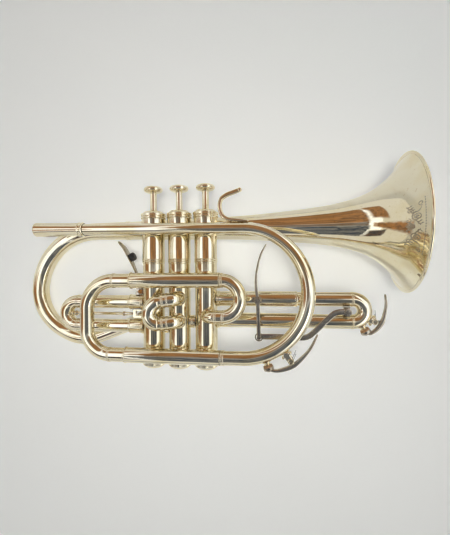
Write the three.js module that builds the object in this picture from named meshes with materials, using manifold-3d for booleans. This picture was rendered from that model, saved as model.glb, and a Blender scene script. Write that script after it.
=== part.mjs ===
// A B flat cornet with three piston valves, lying on its left side.
// Units are millimetres. The instrument is drawn in its own frame: X runs towards the bell, Y runs
// along the valves towards the finger buttons, Z points to the player's right. The middle valve's
// axis is X = 0, Z = 0, and Y = 0 is the height of the leadpipe. At the end the whole instrument is
// tilted so that the bell rim and the bell bow both touch the table, and Z is up.
import * as THREE from 'three';
import { mergeVertices } from 'three/addons/utils/BufferGeometryUtils.js';
import Module from 'manifold-3d';

const wasm = await Module();
wasm.setup();

// ---- Driving dimensions -------------------------------------------------------------------------
const GAP = 0.3;                      // between pieces that touch on the real instrument
const TUBE_SIDES = 10;
const VALVE_SIDES = 12;
const ARC_STEP = Math.PI / 9;         // one straight piece of a bend

const VALVE_SPACING = 24.3;
const VALVE_X = [-VALVE_SPACING, 0, VALVE_SPACING];
const CASING_R = 9.8;                 // lower part of a casing, outside
const CASING_UPPER_R = 10.1;
const CASING_BORE_R = 8.8;
const CASING_TOP = 3;
const CASING_BOTTOM = -117;
const GUIDE_Y = -27;                  // underside of the guide, level with the bead on the casing
const STROKE = 16;
const PISTON_R = 8.4;
const PISTON_BOTTOM = -101.5;
const BARREL_TOP = 8;
const STEM_R = 3;
const CAP_BORE_R = 3.5;
const BUTTON_Y = 33.9;
const BUTTON_R = 8.3;

const FRONT_Z = 17.5;                 // plane of the tuning slide, small crook and main bow
const SIDE_Z = -2;                    // plane of the first and third slides
const BELL_Z = -21.5;                 // plane of the bell
const REST_Z = -16.6;                 // middle of the bell bow where it touches the table
const LOWER_Y = -110.5;               // lower leg of the main tuning slide
const UPPER_Y = -45.7;                // upper leg of the main tuning slide
const SLEEVE_R = 6.6;
const SLEEVE_BORE_R = 6.15;
const INNER_R = 5.75;                 // tubes that slide inside the sleeves
const BOW_R = 5.95;
const WALL = 0.6;

const LEADPIPE_R = 5;
const LEADPIPE_START = [-131.1, 0.94];
const LEADPIPE_END = [58.9, -2.45];
const LEADPIPE_Z = 15.5;
const MAIN_BOW_RADIUS = 53.9;

const BELL_Y = 2;
const BELL_MOUTH_X = 198.2;
const BELL_MOUTH_R = 60.5;
const TILT = THREE.MathUtils.degToRad(9.3);

// ---- Materials ----------------------------------------------------------------------------------
function metal(name, color, roughness) {
  return new THREE.MeshStandardMaterial({ name, color, roughness, metalness: 1 });
}
function soft(name, color, roughness) {
  return new THREE.MeshStandardMaterial({ name, color, roughness, metalness: 0 });
}
const silver = metal('silver_plate', 0xd8d0bb, 0.16);
const oldSilver = metal('worn_silver_plate', 0xbdb39a, 0.28);
const nickel = metal('piston_nickel', 0xb9b7b0, 0.22);
const steel = metal('spring_steel', 0x8c8d90, 0.3);
const cork = soft('cork', 0xa9713f, 0.9);
const rubber = soft('black_rubber', 0x1d1c1c, 0.75);

// ---- Building blocks ----------------------------------------------------------------------------
const instrument = new THREE.Group();

function part(name, geometry, material) {
  const mesh = new THREE.Mesh(geometry, material);
  mesh.name = name;
  instrument.add(mesh);
}

function vec(x, y, z) {
  return new THREE.Vector3(x, y, z);
}

function solid(geometry) {
  const bare = geometry.clone();
  bare.deleteAttribute('normal');
  bare.deleteAttribute('uv');
  const merged = mergeVertices(bare, 1e-4);
  const mesh = new wasm.Mesh({
    numProp: 3,
    vertProperties: new Float32Array(merged.attributes.position.array),
    triVerts: new Uint32Array(merged.index.array),
  });
  mesh.merge();
  return new wasm.Manifold(mesh);
}

function geometryOf(manifold) {
  const mesh = manifold.getMesh();
  const geometry = new THREE.BufferGeometry();
  geometry.setAttribute('position', new THREE.BufferAttribute(mesh.vertProperties, 3));
  geometry.setIndex(new THREE.BufferAttribute(mesh.triVerts, 1));
  return geometry;
}

function joined(...geometries) {
  const [first, ...rest] = geometries.map(solid);
  return geometryOf(rest.reduce((sum, piece) => sum.add(piece), first));
}

function cut(geometry, ...tools) {
  return geometryOf(tools.map(solid).reduce((left, tool) => left.subtract(tool), solid(geometry)));
}

// A cylinder from a to b.
function rod(a, b, radius, sides = 12) {
  const axis = b.clone().sub(a);
  const geometry = new THREE.CylinderGeometry(radius, radius, axis.length(), sides);
  const turn = new THREE.Quaternion().setFromUnitVectors(vec(0, 1, 0), axis.clone().normalize());
  const middle = a.clone().add(b).multiplyScalar(0.5);
  return geometry.applyQuaternion(turn).translate(middle.x, middle.y, middle.z);
}

function box(low, high) {
  const size = high.map((value, i) => value - low[i]);
  const middle = high.map((value, i) => (value + low[i]) / 2);
  return new THREE.BoxGeometry(...size).translate(...middle);
}

// Points of a path whose corners are rounded: each corner is [x, y, z, bend radius].
function roundedPath(corners) {
  const points = corners.map(([x, y, z]) => vec(x, y, z));
  const path = [points[0]];
  for (let i = 1; i < points.length - 1; i++) {
    const back = points[i - 1].clone().sub(points[i]).normalize();
    const ahead = points[i + 1].clone().sub(points[i]).normalize();
    const half = back.angleTo(ahead) / 2;
    const radius = corners[i][3];
    const toCentre = back.clone().add(ahead).normalize().multiplyScalar(radius / Math.sin(half));
    const centre = points[i].clone().add(toCentre);
    const start = points[i].clone().addScaledVector(back, radius / Math.tan(half)).sub(centre);
    const turn = Math.PI - 2 * half;
    const axis = ahead.clone().cross(back).normalize();
    const steps = Math.max(2, Math.ceil(turn / ARC_STEP));
    for (let k = 0; k <= steps; k++) {
      path.push(start.clone().applyAxisAngle(axis, (turn * k) / steps).add(centre));
    }
  }
  path.push(points.at(-1));
  return path;
}

// Points of an arc in a plane of constant Z; angles in degrees, counted from +X.
function arc(x, y, z, radius, from, to) {
  const sweep = THREE.MathUtils.degToRad(to - from);
  const steps = Math.ceil(Math.abs(sweep) / ARC_STEP);
  return Array.from({ length: steps + 1 }, (_, k) => {
    const angle = THREE.MathUtils.degToRad(from) + (sweep * k) / steps;
    return vec(x + radius * Math.cos(angle), y + radius * Math.sin(angle), z);
  });
}

// A hollow tube with open ends along a path. The outer radius is a number or a function of the
// fraction of the length.
function tube(path, radius, wall = WALL, sides = TUBE_SIDES) {
  const lengths = [0];
  for (let i = 1; i < path.length; i++) {
    lengths.push(lengths[i - 1] + path[i].distanceTo(path[i - 1]));
  }
  const positions = [];
  let normal = null;
  path.forEach((point, i) => {
    const before = path[Math.max(i - 1, 0)];
    const after = path[Math.min(i + 1, path.length - 1)];
    const tangent = after.clone().sub(before).normalize();
    if (!normal) normal = Math.abs(tangent.z) > 0.9 ? vec(1, 0, 0) : vec(0, 0, 1);
    normal.addScaledVector(tangent, -normal.dot(tangent)).normalize();
    const side = tangent.clone().cross(normal);
    const outer = typeof radius === 'function' ? radius(lengths[i] / lengths.at(-1)) : radius;
    for (const r of [outer, outer - wall]) {
      for (let k = 0; k < sides; k++) {
        const angle = (2 * Math.PI * k) / sides;
        const spot = point.clone().addScaledVector(normal, r * Math.cos(angle));
        spot.addScaledVector(side, r * Math.sin(angle));
        positions.push(spot.x, spot.y, spot.z);
      }
    }
  });
  const index = [];
  const quad = (a, b, c, d) => index.push(a, b, c, a, c, d);
  const last = path.length - 1;
  for (let k = 0; k < sides; k++) {
    const next = (k + 1) % sides;
    for (let i = 0; i < last; i++) {
      const here = 2 * sides * i;
      const there = here + 2 * sides;
      quad(here + k, here + next, there + next, there + k);
      quad(here + sides + next, here + sides + k, there + sides + k, there + sides + next);
    }
    const end = 2 * sides * last;
    quad(k, sides + k, sides + next, next);
    quad(end + next, end + sides + next, end + sides + k, end + k);
  }
  const geometry = new THREE.BufferGeometry();
  geometry.setAttribute('position', new THREE.Float32BufferAttribute(positions, 3));
  geometry.setIndex(index);
  return geometry;
}

// A body turned about the Y axis from [radius, y] points. A closed profile makes a ring.
function turned(profile, x = 0, sides = VALVE_SIDES) {
  const points = profile.map(([r, y]) => new THREE.Vector2(r, y));
  return new THREE.LatheGeometry(points, sides).translate(x, 0, 0);
}

// The same about the X axis, from [x, radius] points.
function turnedAlongX(profile, y, z, sides = TUBE_SIDES) {
  const points = profile.map(([x, r]) => new THREE.Vector2(r, x));
  return new THREE.LatheGeometry(points, sides).rotateZ(-Math.PI / 2).translate(0, y, z);
}

// A straight sleeve along X with a thicker ring at its mouth.
function sleeve(fixedX, mouthX, y, z) {
  const way = Math.sign(mouthX - fixedX);
  const profile = [
    [fixedX, SLEEVE_BORE_R], [fixedX, SLEEVE_R], [mouthX - 2.2 * way, SLEEVE_R],
    [mouthX - 2.2 * way, SLEEVE_R + 0.5], [mouthX, SLEEVE_R + 0.5], [mouthX, SLEEVE_BORE_R],
    [fixedX, SLEEVE_BORE_R],
  ];
  return turnedAlongX(way < 0 ? profile.reverse() : profile, y, z);
}

// Cuts a tube's end to the round of a casing, so that it sits against it with a small gap.
function saddled(geometry, valveX) {
  const top = vec(valveX, CASING_TOP, 0);
  const bottom = vec(valveX, CASING_BOTTOM, 0);
  return cut(geometry, rod(bottom, top, CASING_R + 1.6 * GAP, 20));
}

// A strip with its edges across Z: it follows a smooth curve in X and Y.
function strip(points, thickness, zLow, zHigh, steps = 10) {
  const curve = new THREE.SplineCurve(points.map(([x, y]) => new THREE.Vector2(x, y)));
  const left = [];
  const right = [];
  for (let k = 0; k <= steps; k++) {
    const point = curve.getPoint(k / steps);
    const tangent = curve.getTangent(k / steps);
    const across = new THREE.Vector2(-tangent.y, tangent.x).multiplyScalar(thickness / 2);
    left.push(point.clone().add(across));
    right.push(point.clone().sub(across));
  }
  const shape = new THREE.Shape([...left, ...right.reverse()]);
  return new THREE.ExtrudeGeometry(shape, { depth: zHigh - zLow, bevelEnabled: false })
    .translate(0, 0, zLow);
}

// ---- Leadpipe, main bow and receiver ------------------------------------------------------------
const pipeAngle = Math.atan2(
  LEADPIPE_END[1] - LEADPIPE_START[1], LEADPIPE_END[0] - LEADPIPE_START[0]);
const RECEIVER_LENGTH = 48;
const PIPE_IN_RECEIVER = 13;

function alongPipe(distance) {
  const x = LEADPIPE_START[0] + distance * Math.cos(pipeAngle);
  const y = LEADPIPE_START[1] + distance * Math.sin(pipeAngle);
  return vec(x, y, LEADPIPE_Z);
}

function makeLeadpipe() {
  const pipeLength = Math.hypot(
    LEADPIPE_END[0] - LEADPIPE_START[0], LEADPIPE_END[1] - LEADPIPE_START[1]);
  const pipePath = [alongPipe(RECEIVER_LENGTH - PIPE_IN_RECEIVER), alongPipe(pipeLength)];
  part('leadpipe', tube(pipePath, LEADPIPE_R), silver);

  const receiver = turnedAlongX([
    [0, 5.1], [0, 6], [0.6, 6.5], [RECEIVER_LENGTH - 5, 5.9], [RECEIVER_LENGTH - 5, 6.2],
    [RECEIVER_LENGTH, 6.2], [RECEIVER_LENGTH, 5.4], [34, 5.4], [34, 4.5], [0, 5.1],
  ], 0, 0, VALVE_SIDES);
  receiver.rotateZ(pipeAngle).translate(LEADPIPE_START[0], LEADPIPE_START[1], LEADPIPE_Z);
  part('mouthpiece_receiver', receiver, silver);
}

const bowCentre = {
  x: LEADPIPE_END[0] + MAIN_BOW_RADIUS * Math.sin(pipeAngle),
  y: LEADPIPE_END[1] - MAIN_BOW_RADIUS * Math.cos(pipeAngle),
};
const MAIN_BOW_END_X = 39.8;

// A point at a distance and an angle (degrees) from the middle of a bow.
function around(centre, distance, angle, z) {
  const turn = THREE.MathUtils.degToRad(angle);
  return vec(centre.x + distance * Math.cos(turn), centre.y + distance * Math.sin(turn), z);
}

// A bow with a drain nipple, bored through into the tube.
function withNipple(bow, centre, bend, angle, z) {
  const outside = around(centre, bend + BOW_R + 1.9, angle, z);
  const inside = around(centre, bend, angle, z);
  const wallSpot = around(centre, bend + BOW_R - 1.2, angle, z);
  const beyond = around(centre, bend + BOW_R + 5, angle, z);
  return cut(joined(bow, rod(wallSpot, outside, 2.5, 8)), rod(inside, beyond, 1.2, 6));
}

const MAIN_DRAIN_ANGLE = -70.4;

function makeMainBow() {
  const lowEndY = bowCentre.y - MAIN_BOW_RADIUS;
  const bend = arc(bowCentre.x, bowCentre.y, LEADPIPE_Z, MAIN_BOW_RADIUS, 88, -90);
  bend.forEach((point, i) => { point.z += ((FRONT_Z - LEADPIPE_Z) * i) / (bend.length - 1); });
  const path = [...bend, vec(MAIN_BOW_END_X, LOWER_Y, FRONT_Z)];
  path.at(-2).y = lowEndY;
  const taper = (t) => LEADPIPE_R + (BOW_R - LEADPIPE_R) * Math.min(t * 2, 1);
  const bow = tube(path, taper);
  part('main_bow', withNipple(bow, bowCentre, MAIN_BOW_RADIUS, MAIN_DRAIN_ANGLE, FRONT_Z), silver);
}

// ---- Main tuning slide --------------------------------------------------------------------------
const TUNING_SLEEVE_FIXED_X = 39.4;
const LOWER_MOUTH_X = -44.8;
const UPPER_MOUTH_X = -39.5;
const TUNING_BACK_X = -80.2;
const TUNING_LEG_IN = 38;             // length of leg inside the sleeves

function makeTuningSlide() {
  part('tuning_sleeve_lower', sleeve(TUNING_SLEEVE_FIXED_X, LOWER_MOUTH_X, LOWER_Y, FRONT_Z), silver);
  part('tuning_sleeve_upper', sleeve(TUNING_SLEEVE_FIXED_X, UPPER_MOUTH_X, UPPER_Y, FRONT_Z), silver);
  const path = roundedPath([
    [UPPER_MOUTH_X + TUNING_LEG_IN, UPPER_Y, FRONT_Z],
    [TUNING_BACK_X, UPPER_Y, FRONT_Z, 24.5],
    [TUNING_BACK_X, LOWER_Y, FRONT_Z, 21.5],
    [LOWER_MOUTH_X + TUNING_LEG_IN, LOWER_Y, FRONT_Z],
  ]);
  part('tuning_slide', tube(path, INNER_R), silver);
}

// ---- Small crook from the tuning slide into valve 3 ---------------------------------------------
const CROOK_Y = -76.5;
const CROOK_PORT_X = 27.8;

function makeCrook() {
  const start = TUNING_SLEEVE_FIXED_X + 0.4;
  const bendX = 41.2;
  const radius = (UPPER_Y - CROOK_Y) / 2;
  const bend = arc(bendX, (UPPER_Y + CROOK_Y) / 2, FRONT_Z, radius, 90, -90);
  const elbow = roundedPath([
    [bendX, CROOK_Y, FRONT_Z], [CROOK_PORT_X, CROOK_Y, FRONT_Z, 6.4], [CROOK_PORT_X, CROOK_Y, 4],
  ]);
  const path = [vec(start, UPPER_Y, FRONT_Z), ...bend, ...elbow.slice(1)];
  part('valve_crook', saddled(tube(path, 5.7), VALVE_X[2]), silver);
}

// ---- Valves -------------------------------------------------------------------------------------
function makeCasing(x, name) {
  part(name, turned([
    [CASING_R, CASING_BOTTOM], [CASING_R, -30.6], [10.4, -30.2], [10.4, -27], [CASING_UPPER_R, -26.6],
    [CASING_UPPER_R, CASING_TOP], [CASING_BORE_R, CASING_TOP], [CASING_BORE_R, CASING_BOTTOM],
    [CASING_R, CASING_BOTTOM],
  ], x), silver);
}

function makeTopCap(x, name) {
  const bottom = CASING_TOP + GAP;
  part(name, turned([
    [CASING_BORE_R, bottom], [10.6, bottom], [10.6, 9.2], [11.3, 9.6], [11.3, 11], [10.8, 11.4],
    [11.3, 11.8], [11.3, 14], [9.2, 14.6], [8.7, 16.2], [4.8, 16.9], [CAP_BORE_R, 16.9],
    [CAP_BORE_R, 12.6],
    [CASING_BORE_R, 12.6], [CASING_BORE_R, bottom],
  ], x), silver);
}

function makeBottomCap(x, name) {
  const top = CASING_BOTTOM - GAP;
  part(name, turned([
    [1.6, -125.4], [5.6, -125.2], [8.9, -123.4], [10.4, -121.6], [10.4, top],
    [CASING_BORE_R, top], [CASING_BORE_R, -120.6], [1.6, -120.6], [1.6, -125.4],
  ], x), silver);
}

// The guide fills the piston's spring barrel and its two lugs reach through the barrel's slots.
function makeGuide(x, name) {
  const disc = rod(vec(x, GUIDE_Y, 0), vec(x, GUIDE_Y + 2, 0), 5.9, 10);
  const reach = CASING_BORE_R - 2 * GAP;
  const lugs = box([x - 1.5, GUIDE_Y, -reach], [x + 1.5, GUIDE_Y + 2, reach]);
  part(name, joined(disc, lugs), nickel);
}

function makePiston(x, name) {
  const body = rod(vec(x, PISTON_BOTTOM, 0), vec(x, BARREL_TOP, 0), PISTON_R, VALVE_SIDES);
  const barrel = rod(vec(x, GUIDE_Y - 1, 0), vec(x, BARREL_TOP - 2, 0), 7.1, 10);
  const slotTop = GUIDE_Y + 2 + STROKE + 0.6;
  const slot = box([x - 1.9, GUIDE_Y - 1, -9], [x + 1.9, slotTop, 9]);
  const passages = [-54, -70, -86].map((y, i) => {
    const angle = THREE.MathUtils.degToRad(60 * i);
    const reach = vec(9 * Math.cos(angle), 3 * (i - 1), 9 * Math.sin(angle));
    const middle = vec(x, y, 0);
    return rod(middle.clone().sub(reach), middle.clone().add(reach), 5.2, 8);
  });
  const foot = rod(vec(x, PISTON_BOTTOM - 1, 0), vec(x, -92.5, 0), 7.5, 10);
  part(name, cut(body, barrel, slot, foot, ...passages), nickel);
}

function makeStem(x, name) {
  part(name, turned([
    [0, BARREL_TOP + GAP], [5.5, BARREL_TOP + GAP], [5.5, 10.4], [STEM_R, 10.4],
    [STEM_R, BUTTON_Y - GAP], [0, BUTTON_Y - GAP],
  ], x, 10), silver);
}

function makeButton(x, name) {
  part(name, turned([
    [0, BUTTON_Y], [6.4, BUTTON_Y], [BUTTON_R, BUTTON_Y + 1.7], [BUTTON_R, BUTTON_Y + 3.3],
    [6.4, BUTTON_Y + 5], [0, BUTTON_Y + 4.7],
  ], x), silver);
}

function makeSpring(x, name) {
  const turns = 5;
  const bottom = GUIDE_Y + 2 + 0.9;
  const top = BARREL_TOP - 2 - 0.9;
  class Coil extends THREE.Curve {
    getPoint(t, target = new THREE.Vector3()) {
      const angle = 2 * Math.PI * turns * t;
      return target.set(x + 4.6 * Math.cos(angle), bottom + (top - bottom) * t, 4.6 * Math.sin(angle));
    }
  }
  const wire = new THREE.Shape([
    new THREE.Vector2(0.5, 0), new THREE.Vector2(-0.25, 0.43), new THREE.Vector2(-0.25, -0.43),
  ]);
  const options = { steps: turns * 8, bevelEnabled: false, extrudePath: new Coil() };
  part(name, new THREE.ExtrudeGeometry(wire, options), steel);
}

function makeValves() {
  VALVE_X.forEach((x, i) => {
    makeCasing(x, `valve_casing_${i + 1}`);
    makeTopCap(x, `top_cap_${i + 1}`);
    makeBottomCap(x, `bottom_cap_${i + 1}`);
    makeGuide(x, `valve_guide_${i + 1}`);
    makePiston(x, `piston_${i + 1}`);
    makeStem(x, `valve_stem_${i + 1}`);
    makeButton(x, `finger_button_${i + 1}`);
    makeSpring(x, `valve_spring_${i + 1}`);
  });
  [-88, -83].forEach((y, i) => {
    const link = tube([vec(VALVE_X[i] + 4, y, 0), vec(VALVE_X[i + 1] - 4, y, 0)], 5.4);
    part(`casing_link_tube_${i + 1}`, saddled(saddled(link, VALVE_X[i]), VALVE_X[i + 1]), silver);
  });
}

// ---- First slide and its thumb trigger ----------------------------------------------------------
const FIRST_UPPER_Y = -66;
const FIRST_LOWER_Y = -88.2;
const FIRST_MOUTH_X = -48.4;
const FIRST_BEND_X = -101.3;
const FIRST_LEG_IN = 11;
const TRIGGER_1 = { x: -40.2, y: -54.5, arm: 22.5 };

function makeFirstSlide() {
  const legY = { upper: FIRST_UPPER_Y, lower: FIRST_LOWER_Y };
  for (const [which, y] of Object.entries(legY)) {
    const body = saddled(sleeve(VALVE_X[0] - 4, FIRST_MOUTH_X, y, SIDE_Z), VALVE_X[0]);
    part(`first_slide_sleeve_${which}`, body, silver);
  }
  const middle = (FIRST_UPPER_Y + FIRST_LOWER_Y) / 2;
  const radius = (FIRST_UPPER_Y - FIRST_LOWER_Y) / 2;
  const legEnd = FIRST_MOUTH_X + FIRST_LEG_IN;
  const bend = arc(FIRST_BEND_X, middle, SIDE_Z, radius, 90, 270);
  const path = [vec(legEnd, FIRST_UPPER_Y, SIDE_Z), ...bend, vec(legEnd, FIRST_LOWER_Y, SIDE_Z)];
  const bow = tube(path, INNER_R);
  const pushRod = rod(
    vec(FIRST_BEND_X - radius + INNER_R - 0.4, middle, SIDE_Z), vec(-44, middle, SIDE_Z), 1.3, 6);
  const eyeY = middle + 0.8;
  const eye = box([-45.2, middle - 3.6, SIDE_Z - 1.2], [-36.6, middle + 3.8, SIDE_Z + 1.2]);
  const slot = box(
    [TRIGGER_1.x - 1.7, eyeY - 2.4, SIDE_Z - 3], [TRIGGER_1.x + 1.7, eyeY + 2.4, SIDE_Z + 3]);
  part('first_slide', cut(joined(bow, pushRod, eye), slot), silver);
}

function makeFirstTrigger() {
  const pivot = (z) => vec(TRIGGER_1.x, TRIGGER_1.y, z);
  const postFoot = box([-42, FIRST_UPPER_Y + 6.95, -6.8], [-38.2, FIRST_UPPER_Y + 10.4, 1.6]);
  const postPin = rod(pivot(-11.8), pivot(-1.6), 1.4, 8);
  const ear = box([-41.9, FIRST_UPPER_Y + 9, -8.6], [-38.5, TRIGGER_1.y + 1.8, -5.4]);
  part('first_trigger_post', joined(postFoot, ear, postPin), oldSilver);

  const blade = strip([
    [-60.8, -10], [-55.6, -15.6], [-51, -23.6], [-47.2, -33], [-43.4, -44], [-40.6, -52.4],
  ], 1.8, -11.2, -9.2);
  const paddle = strip([[-60.8, -10], [-55.6, -15.6], [-51, -23.6], [-47.6, -32]], 1.8, -10.2, -1, 6);
  const hub = rod(pivot(-11.2), pivot(-9.2), 3.4, 10);
  const pinY = TRIGGER_1.y - TRIGGER_1.arm;
  const lowerArm = box(
    [TRIGGER_1.x - 1.7, pinY - 1.9, -11.2], [TRIGGER_1.x + 1.7, TRIGGER_1.y - 1, -9.2]);
  const pin = rod(vec(TRIGGER_1.x, pinY, -10), vec(TRIGGER_1.x, pinY, 0.6), 1.1, 8);
  const bore = rod(pivot(-14), pivot(0), 1.8, 8);
  part('first_trigger_lever', joined(cut(joined(blade, paddle, hub, lowerArm), bore), pin), oldSilver);

  const face = vec(-48.9, -25.2, -5.6);
  const outward = vec(0.9, 0.44, 0);
  part('first_trigger_bumper', rod(face, face.clone().addScaledVector(outward, 4.6), 3.9, 12), rubber);
}

// ---- Second slide -------------------------------------------------------------------------------
const SECOND_UPPER_Y = -61.6;
const SECOND_LOWER_Y = -81.3;
const SECOND_PORT_X = 1.8;
const SECOND_WAY = vec(-0.985, -0.12, 0.12).normalize();
const SECOND_MOUTH = 12.6;            // distance from the elbow's corner to the knuckle's mouth
const SECOND_INNER_R = 5.1;

function makeSecondSlide() {
  const along = (y, distance) =>
    vec(SECOND_PORT_X, y, FRONT_Z).addScaledVector(SECOND_WAY, distance);
  const legY = { upper: SECOND_UPPER_Y, lower: SECOND_LOWER_Y };
  for (const [which, y] of Object.entries(legY)) {
    const mouth = along(y, SECOND_MOUTH);
    const path = roundedPath([
      [mouth.x, mouth.y, mouth.z], [SECOND_PORT_X, y, FRONT_Z, 6.6], [SECOND_PORT_X, y, 3],
    ]);
    const name = `second_slide_knuckle_${which}`;
    part(name, saddled(tube(path, 6.1), VALVE_X[1]), silver);
  }
  const halfGap = (SECOND_UPPER_Y - SECOND_LOWER_Y) / 2;
  const middle = along(SECOND_UPPER_Y - halfGap, SECOND_MOUTH + 1.4);
  const bend = Array.from({ length: 9 }, (_, k) => {
    const angle = (Math.PI * k) / 8;
    const spot = middle.clone().addScaledVector(SECOND_WAY, halfGap * Math.sin(angle));
    return spot.add(vec(0, halfGap * Math.cos(angle), 0));
  });
  const legIn = 5.4;
  const path = [
    along(SECOND_UPPER_Y, SECOND_MOUTH - legIn), ...bend,
    along(SECOND_LOWER_Y, SECOND_MOUTH - legIn),
  ];
  part('second_slide', tube(path, SECOND_INNER_R), silver);
}

// ---- Third slide, its trigger and link bar ------------------------------------------------------
const THIRD_UPPER_Y = -62.6;
const THIRD_LOWER_Y = -81.4;
const THIRD_MOUTH_X = 103.8;
const THIRD_BEND_X = 149.2;
const THIRD_LEG_IN = 40;
const THIRD_DRAIN_ANGLE = -60;
const TRIGGER_3 = { x: 70.5, y: -63.2, arm: 31.5 };
const BRACE = { x: 144, y: -72.7 };
const LEVER_3_Z = [6.6, 8.6];
const LINK_Z = [4.3, 5.9];
const thirdBend = { x: THIRD_BEND_X, y: (THIRD_UPPER_Y + THIRD_LOWER_Y) / 2 };
const THIRD_BEND_R = (THIRD_UPPER_Y - THIRD_LOWER_Y) / 2;

function makeThirdSlide() {
  const legY = { upper: THIRD_UPPER_Y, lower: THIRD_LOWER_Y };
  for (const [which, y] of Object.entries(legY)) {
    const body = saddled(sleeve(VALVE_X[2] + 4, THIRD_MOUTH_X, y, SIDE_Z), VALVE_X[2]);
    part(`third_slide_sleeve_${which}`, body, silver);
  }
  const legEnd = THIRD_MOUTH_X - THIRD_LEG_IN;
  const bend = arc(thirdBend.x, thirdBend.y, SIDE_Z, THIRD_BEND_R, 90, -90);
  const path = [vec(legEnd, THIRD_UPPER_Y, SIDE_Z), ...bend, vec(legEnd, THIRD_LOWER_Y, SIDE_Z)];
  const bow = tube(path, INNER_R);
  part('third_slide', withNipple(bow, thirdBend, THIRD_BEND_R, THIRD_DRAIN_ANGLE, SIDE_Z), silver);

  const plate = box([141.2, THIRD_LOWER_Y + 6.1, -4], [146.8, THIRD_UPPER_Y - 6.1, 2]);
  const at = (z) => vec(BRACE.x, BRACE.y, z);
  const screw = joined(
    rod(at(0), at(LINK_Z[0] - GAP), 2.9, 10), rod(at(0), at(LINK_Z[1] + 1), 1.5, 8),
    rod(at(LINK_Z[1] + GAP), at(LINK_Z[1] + 2), 2.8, 10));
  part('third_slide_brace', joined(plate, screw), oldSilver);
}

function makeThirdTrigger() {
  const pivot = (z) => vec(TRIGGER_3.x, TRIGGER_3.y, z);
  const [low, high] = LEVER_3_Z;
  const foot = box([TRIGGER_3.x - 5, THIRD_UPPER_Y - 2.6, SIDE_Z + SLEEVE_R + GAP],
    [TRIGGER_3.x + 3, THIRD_UPPER_Y + 2.2, low - GAP]);
  const pin = rod(pivot(low - 1), pivot(high + 1), 1.4, 8);
  const head = rod(pivot(high + GAP), pivot(high + 1.5), 2.6, 10);
  part('third_trigger_post', joined(foot, pin, head), oldSilver);

  const hub = rod(pivot(low), pivot(high), 3.3, 12);
  const pinY = TRIGGER_3.y - TRIGGER_3.arm;
  const blade = [[77.6, -15.8], [73.6, -23.6], [71, -31.5], [69.3, -42.4], [69.4, -52], [70.4, -62]];
  const upper = strip(blade, 2, low, high);
  const paddle = strip(blade.slice(0, 4), 1.5, low - 9.6, high - 0.6, 6);
  const lowerArm = strip([[70.4, -62], [70.9, -78], [71.2, pinY - 1.4]], 3.4, low, high, 2);
  const bore = rod(pivot(low - 2), pivot(high + 2), 1.8, 8);
  const linkPin = rod(vec(71.2, pinY, low + 0.5), vec(71.2, pinY, LINK_Z[0] - 1), 1.1, 8);
  const lever = joined(cut(joined(upper, paddle, hub, lowerArm), bore), linkPin);
  part('third_trigger_lever', lever, oldSilver);

  const route = [
    [72, pinY + 0.4], [90, -94.2], [104, -94.6], [112, -93.4], [119, -87.8], [127, -79.6],
    [134, -73.4], [141, -72.3], [BRACE.x, BRACE.y],
  ];
  const bar = strip(route, 4.4, LINK_Z[0], LINK_Z[1], 14);
  const disc = (x, y, radius) => rod(vec(x, y, LINK_Z[0]), vec(x, y, LINK_Z[1]), radius, 12);
  const hole = (x, y, radius) => rod(vec(x, y, 0), vec(x, y, 12), radius, 10);
  const ends = joined(bar, disc(71.2, pinY, 4.2), disc(BRACE.x, BRACE.y, 3.4));
  const holes = [hole(71.2, pinY, 2.7), hole(BRACE.x, BRACE.y, 1.95)];
  part('third_link_bar', cut(ends, ...holes), oldSilver);
}

// ---- Water keys ---------------------------------------------------------------------------------
// A key is drawn round the middle of its bow: the saddle holds the pivot pin across the bow, and the
// lever carries a cup with a cork that closes the drain nipple.
const KEY_HALF_WIDTH = 2.3;
const KEY_THICKNESS = 2.6;

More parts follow.
